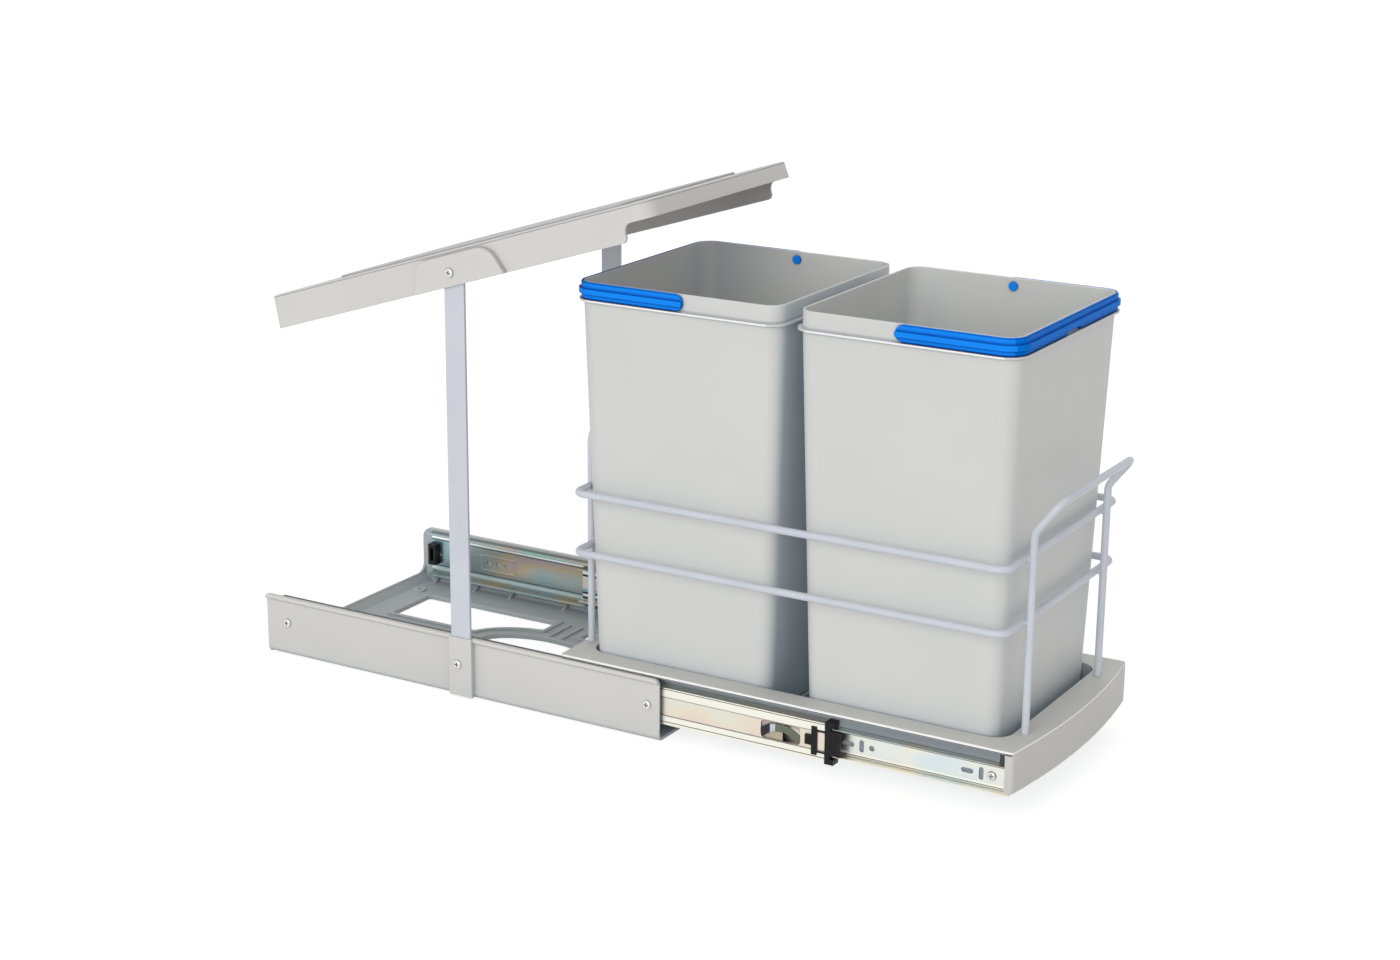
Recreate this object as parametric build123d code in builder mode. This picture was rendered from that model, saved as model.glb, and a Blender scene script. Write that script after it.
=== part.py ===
from build123d import *
import math
import os

os.makedirs("parts", exist_ok=True)

# Pull-out frame for two waste bins, in millimetres. X is the pull-out direction, Y runs across
# the frame, Z is up. The origin is the centre of the floor screw pattern, on the underside.
# "near" is the side at -Y and "far" the side at +Y; the frame is drawn pulled out.

# Base plate with its two side walls
base_length = 438.0
base_width = 251.0
wall_height = 55.0
wall_thickness = 2.0
floor_thickness = 2.5
fold_radius = 5.0
rim_height = 3.0
rim_overhang = 2.5
rim_round = 1.0
near_rear_round = 2.0
far_rear_round = 11.0
front_round = 5.0
lip_height = 10.0
lip_thickness = 2.5
lip_round = 1.0
lip_slope_reach = 9.0
lip_corner_round = 12.0
floor_opening_start = 21.5
floor_opening_end_margin = 41.5
floor_opening_inner = 15.0
floor_opening_side_margin = 48.5
floor_opening_round = 3.0
centre_opening_length = 121.0
centre_opening_width = 67.0
centre_frame_length = 162.0
centre_frame_width = 106.0
bead_width = 4.0
bead_height = 2.0
cross_rib_width = 3.5
cross_rib_pitch = 14.0
gusset_shares = (0.18, 0.48, 0.68, 0.91)
gusset_thickness = 2.5
gusset_height = 6.0
gusset_reach = 11.0
floor_screw_end_margin = 21.0
floor_screw_side_margin = 37.5
floor_screw_hole = 5.0
floor_screw_pad = 13.0

# Uprights that carry the lid, and their pockets in the walls
upright_x = 10.0
upright_width = 21.0
upright_thickness = 3.0
upright_foot_z = 6.0
upright_screw_setback = 2.4
pocket_width = 25.0
pocket_depth = 5.5
pocket_wall = 2.0
pocket_foot_z = 2.0
pocket_fit = 0.2

# Slides: cabinet member, intermediate member and drawer member, nested one in the other
slide_axis_z = 32.5
sheet = 1.2
outer_rail_rear_margin = 12.0
outer_rail_front_margin = 7.0
outer_rail_height = 45.2
outer_rail_depth = 10.0
web_gap = 1.0
middle_rail_start = -20.0
middle_rail_end = 380.0
middle_rail_height = 35.0
middle_rail_depth = 9.0
middle_panel_height = 17.5
middle_panel_relief = 0.5
slide_thickness = 12.7
drawer_rail_start = 147.0
drawer_rail_end = 547.0
drawer_rail_height = 25.4
drawer_rail_depth = 8.3
embossed_start = -146.0
embossed_end = -103.0
embossed_height = 17.0
embossed_line = 1.5
embossed_relief = 0.4
embossed_hole = 5.0
window_start = 318.0
window_end = 356.0
window_height = 16.0
window_round = 3.0
latch_thickness = 0.8
latch_width = 7.0
latch_set_back = 0.2
hole_group_places = (397.5, 410.0, 419.5)
front_group_places = (507.0, 519.5)
slot_length = 11.0
slot_width = 4.2
round_hole = 5.0

# Ball cages
ball_gap = 0.2
ball_count = 6
ball_pitch = 24.0
cage_length = 150.0
cage_thickness = 0.5
cage_strip = 0.8
cage_hole_gap = 0.1
outer_cage_centre = 96.0
inner_cage_centre = 263.5
outer_ball_depth = 6.4
inner_ball_depth = 8.0
cage_margin = 2.0

# Plastic stops of the slides
bumper_length = 9.0
bumper_depth = 7.0
bumper_height = 22.0
bumper_notch = 4.0
clip_length = 14.5
clip_height = 38.0
clip_end_length = 4.5
clip_nub_length = 4.0
clip_nub_height = 4.6
clip_tongue_height = 22.0
clip_tongue_groove = 1.6
clip_channel_gap = 0.4
clip_face_thickness = 0.7
clip_panel_length = 7.7
clip_bar_length = 5.1
clip_bar_height = 25.5
clip_leg_height = 1.4
clip_tab_length = 6.2
clip_tab_height = 9.0

# Tray that rides on the drawer members
tray_top_z = 61.3
tray_plate = 2.8
tray_side_gap = 1.3
tray_rear_x = 115.0
tray_front_x = 551.8
tray_bulge = 10.0
tray_corner_round = 4.0
tray_wall = 2.5
tray_floor_z = 20.0
tray_opening_start = 130.5
tray_opening_end = 535.0
tray_opening_gap = 6.1
tray_opening_round = 18.0
tray_side_start = 119.0
tray_side_end = 534.5
skirt_start_x = 545.0
skirt_height = 35.9
skirt_thickness = 3.0
rear_skirt_height = 10.0
divider_height = 10.0
divider_gap = 1.0
edge_break = 0.6
socket_wall = 2.8
socket_depth = 15.0
foot_fit = 0.3

# Wire basket on the tray
wire = 6.5
weld_gap = 0.2
foot_depth = 13.0
hoop_side_margin = 46.5
front_hoop_x = 542.7
rear_hoop_x = 119.5
lower_ring_z = 156.5
upper_ring_z = 210.8
ring_side_margin = 9.0
ring_round = 10.0
handle_bend_z = 234.0
handle_top_z = 262.0
handle_reach = 21.5
handle_bend_round = 12.0
hoop_top_z = 262.0
hoop_round = 16.0

# Bins
bin_length = 195.7
bin_side_gap = 17.4
rear_bin_x = 222.75
bin_pitch = 212.8
bin_seat_gap = 0.3
bin_rim_z = 397.9
bin_ledge_z = 382.5
bin_ledge_reach = 4.0
bin_ledge_thickness = 1.6
bin_draft = 10.5
bin_round = 15.0
bin_foot_round = 13.0
bin_wall = 1.8
bin_floor = 2.2
bin_edge_round = 0.7
bin_foot_fillet = 4.0

# Blue handles that lie round the rims
bail_gap = 0.3
bail_edge = 1.4
bail_core = 2.2
bail_ridge = 4.2
bail_core_share = 0.86
bail_ridge_share = 0.3
bail_ridge_drop_share = 0.04
bail_side_gap = 0.35
bail_top_gap = 0.1
grip_notch_length = 28.0
grip_notch_height = 2.4
pin_diameter = 5.0
pin_fit = 0.08
pin_head_diameter = 8.0
pin_head_thickness = 1.5

# Lid, tilted about its pivots
pivot_z = 395.3
lid_tilt = 17.7
lid_side_reach = 0.5
lid_rear = 209.3
lid_front = 211.0
lid_top = 18.1
lid_skirt = 30.1
lid_front_skirt = 14.6
lid_rear_flare = 3.3
lid_front_flare = 2.4
lid_deep_end = 184.1
lid_wall = 2.4
lid_crown = 0.6
lid_front_round = 16.0
lid_rear_round = 4.0
lid_top_round = 2.2
lid_step_round = 8.0
lid_step_foot_round = 5.0
deck_height = 2.2
deck_margin = 24.0
deck_front_margin = 40.0
deck_rear_margin = 58.0
deck_round = 14.0
deck_edge = 1.2
boss_rear = 45.5
boss_front = 55.5
boss_top_rear = 33.0
boss_top_front = 45.5
boss_top = 15.2
boss_gap = 0.8
boss_wall = 2.0
boss_rear_round = 10.0
boss_front_round = 20.0
boss_edge_round = 1.5

# Screws, washers and nuts
screw_shank = 4.0
screw_head = 8.0
screw_head_height = 2.0
screw_dome = 1.2
drive_length = 4.4
drive_width = 1.0
drive_depth = 0.9
rail_screw_head = 7.6
rail_screw_head_height = 1.6
thread_gap = 0.05
wall_screw_rear_margin = 24.3
wall_screw_front_margin = 12.3
tray_screw_places = (190.0, 529.0)
washer_diameter = 11.0
washer_thickness = 0.5
nut_width = 7.0
nut_height = 3.2
pivot_fit = 0.08

# Sizes that follow from those above
cut_over = 1.0
half_width = base_width / 2
inner_half_width = half_width - wall_thickness
rim_top_z = wall_height + rim_height
floor_screw_x = base_length / 2 - floor_screw_end_margin
floor_screw_y = half_width - floor_screw_side_margin
floor_opening_end = base_length / 2 - floor_opening_end_margin
floor_opening_outer = half_width - floor_opening_side_margin
gusset_places = [share * base_length / 2 for share in gusset_shares]
wall_screw_places = (
    -base_length / 2 + wall_screw_rear_margin,
    base_length / 2 - wall_screw_front_margin,
)
outer_rail_start = -base_length / 2 + outer_rail_rear_margin
outer_rail_end = base_length / 2 - outer_rail_front_margin
pocket_face = half_width + pocket_depth
upright_face = pocket_face - pocket_wall
upright_screw_x = upright_x - upright_screw_setback
middle_rail_depth_start = sheet + web_gap
middle_rail_depth_end = middle_rail_depth_start + middle_rail_depth
drawer_rail_depth_start = slide_thickness - drawer_rail_depth
outer_race = outer_rail_height / 2 - sheet
middle_race = middle_rail_height / 2 - sheet
outer_ball_z = (outer_race + middle_rail_height / 2) / 2
outer_ball = outer_race - middle_rail_height / 2 - 2 * ball_gap
inner_ball_z = (middle_race + drawer_rail_height / 2) / 2
inner_ball = middle_race - drawer_rail_height / 2 - 2 * ball_gap
tray_width = base_width - 2 * tray_side_gap
bin_width = base_width - 2 * bin_side_gap
tray_opening_width = bin_width - 2 * tray_opening_gap
hoop_half_width = half_width - hoop_side_margin
ring_width = base_width - 2 * ring_side_margin
plate_z = tray_top_z - tray_plate
bin_foot_z = tray_floor_z + tray_wall + bin_seat_gap
front_bin_x = rear_bin_x + bin_pitch
bail_top = bin_rim_z - bail_top_gap
bail_height = bail_top - bin_ledge_z - bail_side_gap
pin_z = bail_top - bail_height / 2
lid_half_width = half_width + lid_side_reach
lid_foot = lid_top - lid_skirt
boss_face = upright_face + boss_gap + boss_wall
boss_reach = boss_face - lid_half_width
lid_rise = math.radians(lid_tilt)
lid_axis = Vector(math.cos(lid_rise), 0, math.sin(lid_rise))
lid_up = Vector(-math.sin(lid_rise), 0, math.cos(lid_rise))
pivot_point = Vector(upright_screw_x, 0, pivot_z)
SIDES = (("near", -1), ("far", 1))


def finish(builder, name):
    """Labels a finished piece and writes it to its file."""
    builder.part.label = name
    export_step(builder.part, f"parts/{name}.step")


def depth_y(side, depth):
    """The Y of a point that lies a depth inside the wall's inner face."""
    return side * (inner_half_width - depth)


def side_plane(side, distance):
    """A plane across Y at a distance from the middle, facing outwards, with X and Z as its axes."""
    return Plane(origin=(0, side * distance, 0), x_dir=(-side, 0, 0), z_dir=(0, side, 0))


def outward_plane(side, x, distance, z):
    """A plane at a point of a side, facing outwards, for a screw, washer or nut."""
    return Plane(origin=(x, side * distance, z), x_dir=(-side, 0, 0), z_dir=(0, side, 0))


# Base plate: a folded trough, with its openings, beads, rims, pockets and screw holes
opening_length = floor_opening_end - floor_opening_start
opening_width = floor_opening_outer - floor_opening_inner
opening_x = (floor_opening_start + floor_opening_end) / 2
opening_y = (floor_opening_inner + floor_opening_outer) / 2
opening_places = [(sx * opening_x, sy * opening_y) for sx in (-1, 1) for sy in (-1, 1)]
screw_places = [(sx * floor_screw_x, sy * floor_screw_y) for sx in (-1, 1) for sy in (-1, 1)]
rim_face = half_width + rim_overhang

with BuildPart() as base_plate:
    with BuildSketch(Plane.YZ.offset(-base_length / 2)) as trough:
        with Locations((0, rim_top_z / 2)):
            Rectangle(base_width, rim_top_z)
        fillet(trough.vertices().group_by(Axis.Y)[0], fold_radius)
        # the rims stand out along the tops of the walls
        for side in (-1, 1):
            with BuildLine():
                Polyline(
                    (side * inner_half_width, wall_height - rim_overhang),
                    (side * half_width, wall_height - rim_overhang),
                    (side * rim_face, wall_height),
                    (side * rim_face, rim_top_z - rim_round),
                    (side * (rim_face - rim_round), rim_top_z),
                    (side * inner_half_width, rim_top_z),
                    close=True,
                )
            make_face()
        with BuildSketch(mode=Mode.SUBTRACT) as inside:
            with Locations((0, (floor_thickness + rim_top_z) / 2)):
                Rectangle(2 * inner_half_width, rim_top_z - floor_thickness)
            fillet(inside.vertices().group_by(Axis.Y)[0], fold_radius - wall_thickness)
    extrude(amount=base_length)
    # the round upper corners at the ends of the walls
    wall_corners = (
        (-1, -1, near_rear_round),
        (1, -1, far_rear_round),
        (-1, 1, front_round),
        (1, 1, front_round),
    )
    for side, end, size in wall_corners:
        with BuildSketch(side_plane(side, inner_half_width - cut_over)):
            corner_x = base_length / 2 + (cut_over - size) / 2
            corner_z = rim_top_z + (cut_over - size) / 2
            with Locations((-side * end * corner_x, corner_z)):
                Rectangle(size + cut_over, size + cut_over)
            with Locations((-side * end * (base_length / 2 - size), rim_top_z - size)):
                Circle(size, mode=Mode.SUBTRACT)
        extrude(amount=rim_face - inner_half_width + 2 * cut_over, mode=Mode.SUBTRACT)
    # the rear lip, which sweeps up into the walls
    with BuildSketch(Plane.YZ.offset(-base_length / 2)):
        lip_reach = lip_height + lip_corner_round
        with Locations((0, lip_reach / 2)):
            Rectangle(2 * inner_half_width, lip_reach)
        with BuildSketch(mode=Mode.SUBTRACT) as above:
            with Locations((0, lip_reach)):
                Rectangle(2 * inner_half_width, 2 * lip_corner_round)
            fillet(above.vertices().group_by(Axis.Y)[0], lip_corner_round - lip_round)
    extrude(amount=lip_thickness)
    # the floor slopes up to the lip
    with BuildSketch(Plane.XZ.offset(-inner_half_width)):
        lip_face = -base_length / 2 + lip_thickness
        with BuildLine():
            Polyline(
                (lip_face, floor_thickness),
                (lip_face + lip_slope_reach, floor_thickness),
                (lip_face, lip_height - lip_round),
                close=True,
            )
        make_face()
    extrude(amount=2 * inner_half_width)
    # the pockets that take the uprights
    for side in (-1, 1):
        with BuildSketch(side_plane(side, half_width)):
            pocket_z = (pocket_foot_z + rim_top_z) / 2
            with Locations((-side * upright_x, pocket_z)):
                Rectangle(pocket_width, rim_top_z - pocket_foot_z)
        extrude(amount=pocket_depth)
        slot_depth = upright_face - inner_half_width
        with BuildSketch(side_plane(side, inner_half_width)):
            slot_height = rim_top_z - upright_foot_z + cut_over
            with Locations((-side * upright_x, upright_foot_z + slot_height / 2)):
                Rectangle(upright_width + 2 * pocket_fit, slot_height)
        extrude(amount=slot_depth, mode=Mode.SUBTRACT)
        outer_edges = base_plate.edges().filter_by(Axis.Z).group_by(Axis.Y)
        fillet(outer_edges[0 if side < 0 else -1], rim_round)
    # gussets at the feet of the walls
    for place in gusset_places:
        for x in (-place, place):
            with BuildSketch(Plane.YZ.offset(x - gusset_thickness / 2)):
                for side in (-1, 1):
                    foot = side * inner_half_width
                    with BuildLine():
                        Polyline(
                            (foot, floor_thickness),
                            (foot - side * gusset_reach, floor_thickness),
                            (foot, floor_thickness + gusset_height),
                            close=True,
                        )
                    make_face()
            extrude(amount=gusset_thickness)
    # raised beads round the openings and pads round the screw holes
    with BuildSketch(Plane.XY.offset(floor_thickness)):
        with Locations(*opening_places):
            Rectangle(opening_length + 2 * bead_width, opening_width + 2 * bead_width)
        Ellipse(
            centre_frame_length / 2 - bead_width,
            centre_frame_width / 2 - bead_width,
            mode=Mode.SUBTRACT,
        )
        Ellipse(centre_opening_length / 2 + bead_width, centre_opening_width / 2 + bead_width)
        with Locations(*screw_places):
            Circle(floor_screw_pad / 2)
        rib_x = cross_rib_pitch / 2
        with Locations(*[(sx * rib_x, sy * opening_y) for sx in (-1, 1) for sy in (-1, 1)]):
            Rectangle(cross_rib_width, opening_width)
    extrude(amount=bead_height)
    with BuildSketch():
        with Locations(*opening_places):
            RectangleRounded(opening_length, opening_width, floor_opening_round)
        Ellipse(centre_frame_length / 2, centre_frame_width / 2, mode=Mode.SUBTRACT)
        Ellipse(centre_opening_length / 2, centre_opening_width / 2)
        with Locations(*screw_places):
            Circle(floor_screw_hole / 2)
    extrude(amount=lip_height, mode=Mode.SUBTRACT)
    # screw holes in the walls and in the pockets
    for side in (-1, 1):
        for x in wall_screw_places:
            with BuildSketch(outward_plane(side, x, inner_half_width, slide_axis_z)):
                Circle(screw_shank / 2 + thread_gap)
            extrude(amount=pocket_depth, mode=Mode.SUBTRACT)
        with BuildSketch(outward_plane(side, upright_screw_x, inner_half_width, slide_axis_z)):
            Circle(screw_shank / 2 + thread_gap)
        extrude(amount=2 * pocket_depth, mode=Mode.SUBTRACT)
finish(base_plate, "base_plate")


# Slide members: folded channels, each with its web and its two flanges
def channel(side, web_depth, tip_depth, height, start, end):
    """A channel section run along X, its web at one depth and its flange tips at the other."""
    turn = 1 if tip_depth > web_depth else -1
    web_y = depth_y(side, web_depth)
    inner_y = depth_y(side, web_depth + turn * sheet)
    tip_y = depth_y(side, tip_depth)
    low = slide_axis_z - height / 2
    high = slide_axis_z + height / 2
    with BuildPart() as rail:
        with BuildSketch(Plane.YZ.offset(start)) as section:
            with BuildLine():
                Polyline(
                    (web_y, low),
                    (tip_y, low),
                    (tip_y, low + sheet),
                    (inner_y, low + sheet),
                    (inner_y, high - sheet),
                    (tip_y, high - sheet),
                    (tip_y, high),
                    (web_y, high),
                    close=True,
                )
            make_face()
            web_side = section.vertices().group_by(Axis.X)[0 if web_y < tip_y else -1]
            fillet(web_side, sheet)
        extrude(amount=end - start)
    return rail


embossed_x = (embossed_start + embossed_end) / 2
embossed_length = embossed_end - embossed_start
embossed_hole_places = (-embossed_length / 4, 0, embossed_length / 4)
for name, side in SIDES:
    member = channel(
        side, 0, outer_rail_depth, outer_rail_height, outer_rail_start, outer_rail_end
    )
    with BuildPart() as outer_rail:
        add(member.part)
        # the raised line round the group of fixing holes
        with BuildSketch(side_plane(side, inner_half_width - sheet)):
            with Locations((-side * embossed_x, slide_axis_z)):
                Rectangle(embossed_length, embossed_height)
                Rectangle(
                    embossed_length - 2 * embossed_line,
                    embossed_height - 2 * embossed_line,
                    mode=Mode.SUBTRACT,
                )
        extrude(amount=-embossed_relief)
        hole_plane = side_plane(side, inner_half_width - outer_rail_depth)
        with BuildSketch(hole_plane):
            for place in embossed_hole_places:
                with Locations((-side * (embossed_x + place), slide_axis_z)):
                    Circle(embossed_hole / 2)
            for place in wall_screw_places:
                with Locations((-side * place, slide_axis_z)):
                    Circle(screw_shank / 2 + thread_gap)
        extrude(amount=outer_rail_depth + cut_over, mode=Mode.SUBTRACT)
    finish(outer_rail, f"outer_rail_{name}")

window_x = (window_start + window_end) / 2
for name, side in SIDES:
    member = channel(
        side,
        middle_rail_depth_start,
        middle_rail_depth_end,
        middle_rail_height,
        middle_rail_start,
        middle_rail_end,
    )
    with BuildPart() as middle_rail:
        add(member.part)
        web_plane = side_plane(side, inner_half_width - middle_rail_depth_end)
        with BuildSketch(web_plane):
            with Locations((-side * window_x, slide_axis_z)):
                RectangleRounded(window_end - window_start, window_height, window_round)
        extrude(amount=middle_rail_depth_end, mode=Mode.SUBTRACT)
        # the long panel that is set back between the two ball races
        with BuildSketch(side_plane(side, inner_half_width - middle_rail_depth_start)):
            with Locations((-side * (middle_rail_start + middle_rail_end) / 2, slide_axis_z)):
                Rectangle(middle_rail_end - middle_rail_start, middle_panel_height)
        extrude(amount=-middle_panel_relief, mode=Mode.SUBTRACT)
    finish(middle_rail, f"intermediate_rail_{name}")

    # the curved latch that spans the window, its ends held by the window's edges
    latch_plane = side_plane(
        side, inner_half_width - middle_rail_depth_start - latch_set_back - latch_thickness
    )
    with BuildPart() as latch:
        with BuildSketch(latch_plane):
            with BuildLine():
                left = (-side * window_start, slide_axis_z - window_height / 4)
                middle = (-side * window_x, slide_axis_z + window_height / 4)
                right = (-side * window_end, slide_axis_z - window_height / 4)
                ThreePointArc(left, middle, right)
            trace(line_width=latch_width)
            with Locations((-side * window_x, slide_axis_z)):
                Rectangle(window_end - window_start, window_height, mode=Mode.INTERSECT)
        extrude(amount=latch_thickness)
    finish(latch, f"slide_latch_{name}")

    # the plastic stop clip on the front end of the intermediate member
    clip_face = inner_half_width - middle_rail_depth_start + clip_face_thickness
    clip_back = inner_half_width - middle_rail_depth_end
    clip_mid = inner_half_width - drawer_rail_depth_start + clip_channel_gap
    channel_height = drawer_rail_height + 2 * clip_channel_gap
    nub_z = (clip_height - clip_nub_height) / 2
    bar_end = middle_rail_end - clip_panel_length
    tab_end = bar_end - clip_bar_length
    leg_z = (middle_panel_height + clip_leg_height) / 2
    with BuildPart() as stop_clip:
        # the bar across the end, open where the drawer member runs through
        with BuildSketch(side_plane(side, clip_back)):
            with Locations((-side * (middle_rail_end + clip_end_length / 2), slide_axis_z)):
                Rectangle(clip_end_length, clip_height)
            nub_x = middle_rail_end + clip_end_length + clip_nub_length / 2
            for z in (-nub_z, nub_z):
                with Locations((-side * nub_x, slide_axis_z + z)):
                    Rectangle(clip_nub_length, clip_nub_height)
        extrude(amount=clip_face - clip_back)
        with BuildSketch(side_plane(side, clip_back - cut_over)):
            with Locations((-side * (middle_rail_end + clip_end_length / 2), slide_axis_z)):
                Rectangle(clip_end_length + 2 * cut_over, channel_height)
        extrude(amount=clip_mid - clip_back + cut_over, mode=Mode.SUBTRACT)
        # the grooved tongue in front of it
        with BuildSketch(side_plane(side, clip_mid)):
            tongue_length = clip_length - clip_end_length
            tongue_x = middle_rail_end + clip_end_length + tongue_length / 2
            with Locations((-side * tongue_x, slide_axis_z)):
                Rectangle(tongue_length, clip_tongue_height)
        extrude(amount=clip_face - clip_mid - clip_face_thickness)
        with BuildSketch(side_plane(side, clip_face - 2 * clip_face_thickness)):
            with Locations((-side * tongue_x, slide_axis_z)):
                Rectangle(clip_tongue_groove, clip_tongue_height)
        extrude(amount=clip_face_thickness, mode=Mode.SUBTRACT)
        # the thin part on the face of the rail: two legs, an upright bar and a tab
        with BuildSketch(side_plane(side, clip_face - clip_face_thickness)):
            for z in (-leg_z, leg_z):
                leg_x = middle_rail_end - clip_panel_length / 2
                with Locations((-side * leg_x, slide_axis_z + z)):
                    Rectangle(clip_panel_length, clip_leg_height)
            with Locations((-side * (bar_end - clip_bar_length / 2), slide_axis_z)):
                Rectangle(clip_bar_length, clip_bar_height)
            with Locations((-side * (tab_end - clip_tab_length / 2), slide_axis_z)):
                Rectangle(clip_tab_length, clip_tab_height)
        extrude(amount=clip_face_thickness)
    finish(stop_clip, f"stop_clip_{name}")

for name, side in SIDES:
    member = channel(
        side,
        slide_thickness,
        drawer_rail_depth_start,
        drawer_rail_height,
        drawer_rail_start,
        drawer_rail_end,
    )
    with BuildPart() as drawer_rail:
        add(member.part)
        with BuildSketch(side_plane(side, inner_half_width - slide_thickness - cut_over)):
            with Locations((-side * hole_group_places[0], slide_axis_z)):
                SlotOverall(slot_length, slot_width)
            with Locations((-side * front_group_places[0], slide_axis_z)):
                SlotOverall(slot_length, slot_width)
            upright_slots = (hole_group_places[1], front_group_places[1])
            for place in upright_slots:
                with Locations((-side * place, slide_axis_z)):
                    SlotOverall(slot_length, slot_width, rotation=90)
            with Locations((-side * hole_group_places[2], slide_axis_z)):
                Circle(round_hole / 2)
            for place in tray_screw_places:
                with Locations((-side * place, slide_axis_z)):
                    Circle(screw_shank / 2 + thread_gap)
        extrude(amount=sheet + 2 * cut_over, mode=Mode.SUBTRACT)
    finish(drawer_rail, f"drawer_rail_{name}")


# Ball cages: a folded strip with a row of balls above and one below
def ball_cage(side, name, web_depth, tip_depth, ball_z, ball, ball_depth, centre):
    """Makes the cage and its balls, and writes both."""
    strip_start = centre - cage_length / 2
    ball_xs = [centre + (i - (ball_count - 1) / 2) * ball_pitch for i in range(ball_count)]
    rows = [slide_axis_z - ball_z, slide_axis_z + ball_z]
    web_y = depth_y(side, web_depth)
    inner_y = depth_y(side, web_depth + cage_thickness)
    tip_y = depth_y(side, tip_depth)
    ball_y = depth_y(side, ball_depth)
    low = slide_axis_z - ball_z - cage_strip / 2
    high = slide_axis_z + ball_z + cage_strip / 2
    with BuildPart() as cage:
        with BuildSketch(Plane.YZ.offset(strip_start)):
            with BuildLine():
                Polyline(
                    (web_y, low),
                    (tip_y, low),
                    (tip_y, low + cage_strip),
                    (inner_y, low + cage_strip),
                    (inner_y, high - cage_strip),
                    (tip_y, high - cage_strip),
                    (tip_y, high),
                    (web_y, high),
                    close=True,
                )
            make_face()
        extrude(amount=cage_length)
        with BuildSketch(Plane.XY.offset(low - cut_over)):
            for x in ball_xs:
                with Locations((x, ball_y)):
                    Circle(ball / 2 + cage_hole_gap)
        extrude(amount=high - low + 2 * cut_over, mode=Mode.SUBTRACT)
    finish(cage, f"{name}_cage_{'near' if side < 0 else 'far'}")
    with BuildPart() as balls:
        for x in ball_xs:
            for z in rows:
                with Locations((x, ball_y, z)):
                    Sphere(ball / 2)
    finish(balls, f"{name}_balls_{'near' if side < 0 else 'far'}")


for _, side in SIDES:
    ball_cage(
        side,
        "outer",
        sheet + (web_gap - cage_thickness) / 2,
        outer_ball_depth + outer_ball / 2 + cage_margin / 2,
        outer_ball_z,
        outer_ball,
        outer_ball_depth,
        outer_cage_centre,
    )
    inner_web = middle_rail_depth_start + sheet
    inner_gap = drawer_rail_depth_start - inner_web
    ball_cage(
        side,
        "inner",
        inner_web + (inner_gap - cage_thickness) / 2,
        inner_ball_depth + inner_ball / 2 + cage_margin / 2,
        inner_ball_z,
        inner_ball,
        inner_ball_depth,
        inner_cage_centre,
    )

# Bumpers at the rear ends of the cabinet members
with BuildPart() as rail_bumpers:
    for side in (-1, 1):
        bumper_face = inner_half_width - sheet - bumper_depth
        with BuildSketch(side_plane(side, bumper_face)):
            bumper_x = outer_rail_start + bumper_length / 2
            with Locations((-side * bumper_x, slide_axis_z)):
                Rectangle(bumper_length, bumper_height)
                Rectangle(bumper_notch, bumper_height - 2 * bumper_notch, mode=Mode.SUBTRACT)
        extrude(amount=bumper_depth)
finish(rail_bumpers, "rail_bumpers")

# Uprights: flat bars with a round top
for name, side in SIDES:
    with BuildPart() as upright:
        with BuildSketch(side_plane(side, upright_face - upright_thickness)):
            bar_height = pivot_z - upright_foot_z
            with Locations((-side * upright_x, upright_foot_z + bar_height / 2)):
                Rectangle(upright_width, bar_height)
            with Locations((-side * upright_x, pivot_z)):
                Circle(upright_width / 2)
            for z in (slide_axis_z, pivot_z):
                with Locations((-side * upright_screw_x, z)):
                    Circle(screw_shank / 2 + thread_gap, mode=Mode.SUBTRACT)
        extrude(amount=upright_thickness)
        long_edges = upright.edges().filter_by(Axis.Z)
        chamfer(long_edges, edge_break / 2)
    finish(upright, f"upright_{name}")


# Screws: a domed head with a crossed drive, and a plain shank
def make_screw(head, head_height, length):
    """Makes one screw that stands along Z, the foot of its head at zero."""
    with BuildPart() as screw:
        with BuildSketch():
            Circle(head / 2)
        extrude(amount=head_height)
        fillet(screw.edges().group_by(Axis.Z)[-1], screw_dome)
        with BuildSketch():
            Circle(screw_shank / 2)
        extrude(amount=-length)
        with BuildSketch(Plane.XY.offset(head_height - drive_depth)):
            Rectangle(drive_length, drive_width)
            Rectangle(drive_width, drive_length)
        extrude(amount=drive_depth, mode=Mode.SUBTRACT)
    return screw.part


def both_sides(places, distance, z):
    """The outward planes of a row of places, on both sides."""
    return [outward_plane(side, x, distance, z) for side in (-1, 1) for x in places]


wall_screw = make_screw(screw_head, screw_head_height, wall_thickness + sheet)
with BuildPart() as wall_screws:
    with Locations(*both_sides(wall_screw_places, half_width, slide_axis_z)):
        add(wall_screw)
finish(wall_screws, "wall_screws")

upright_screw = make_screw(screw_head, screw_head_height, pocket_wall + upright_thickness)
with BuildPart() as upright_screws:
    with Locations(*both_sides([upright_screw_x], pocket_face, slide_axis_z)):
        add(upright_screw)
finish(upright_screws, "upright_screws")

nut_reach = upright_face - upright_thickness - nut_height
pivot_head = boss_face + pivot_fit
pivot_screw = make_screw(screw_head, screw_head_height, pivot_head - nut_reach)
with BuildPart() as pivot_screws:
    with Locations(*both_sides([upright_screw_x], pivot_head, pivot_z)):
        add(pivot_screw)
finish(pivot_screws, "pivot_screws")

tray_face = inner_half_width - slide_thickness
tray_screw = make_screw(rail_screw_head, rail_screw_head_height, sheet + tray_wall)
with BuildPart() as tray_rail_screws:
    with Locations(*both_sides(tray_screw_places, tray_face + sheet, slide_axis_z)):
        add(tray_screw)
finish(tray_rail_screws, "tray_rail_screws")

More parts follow.
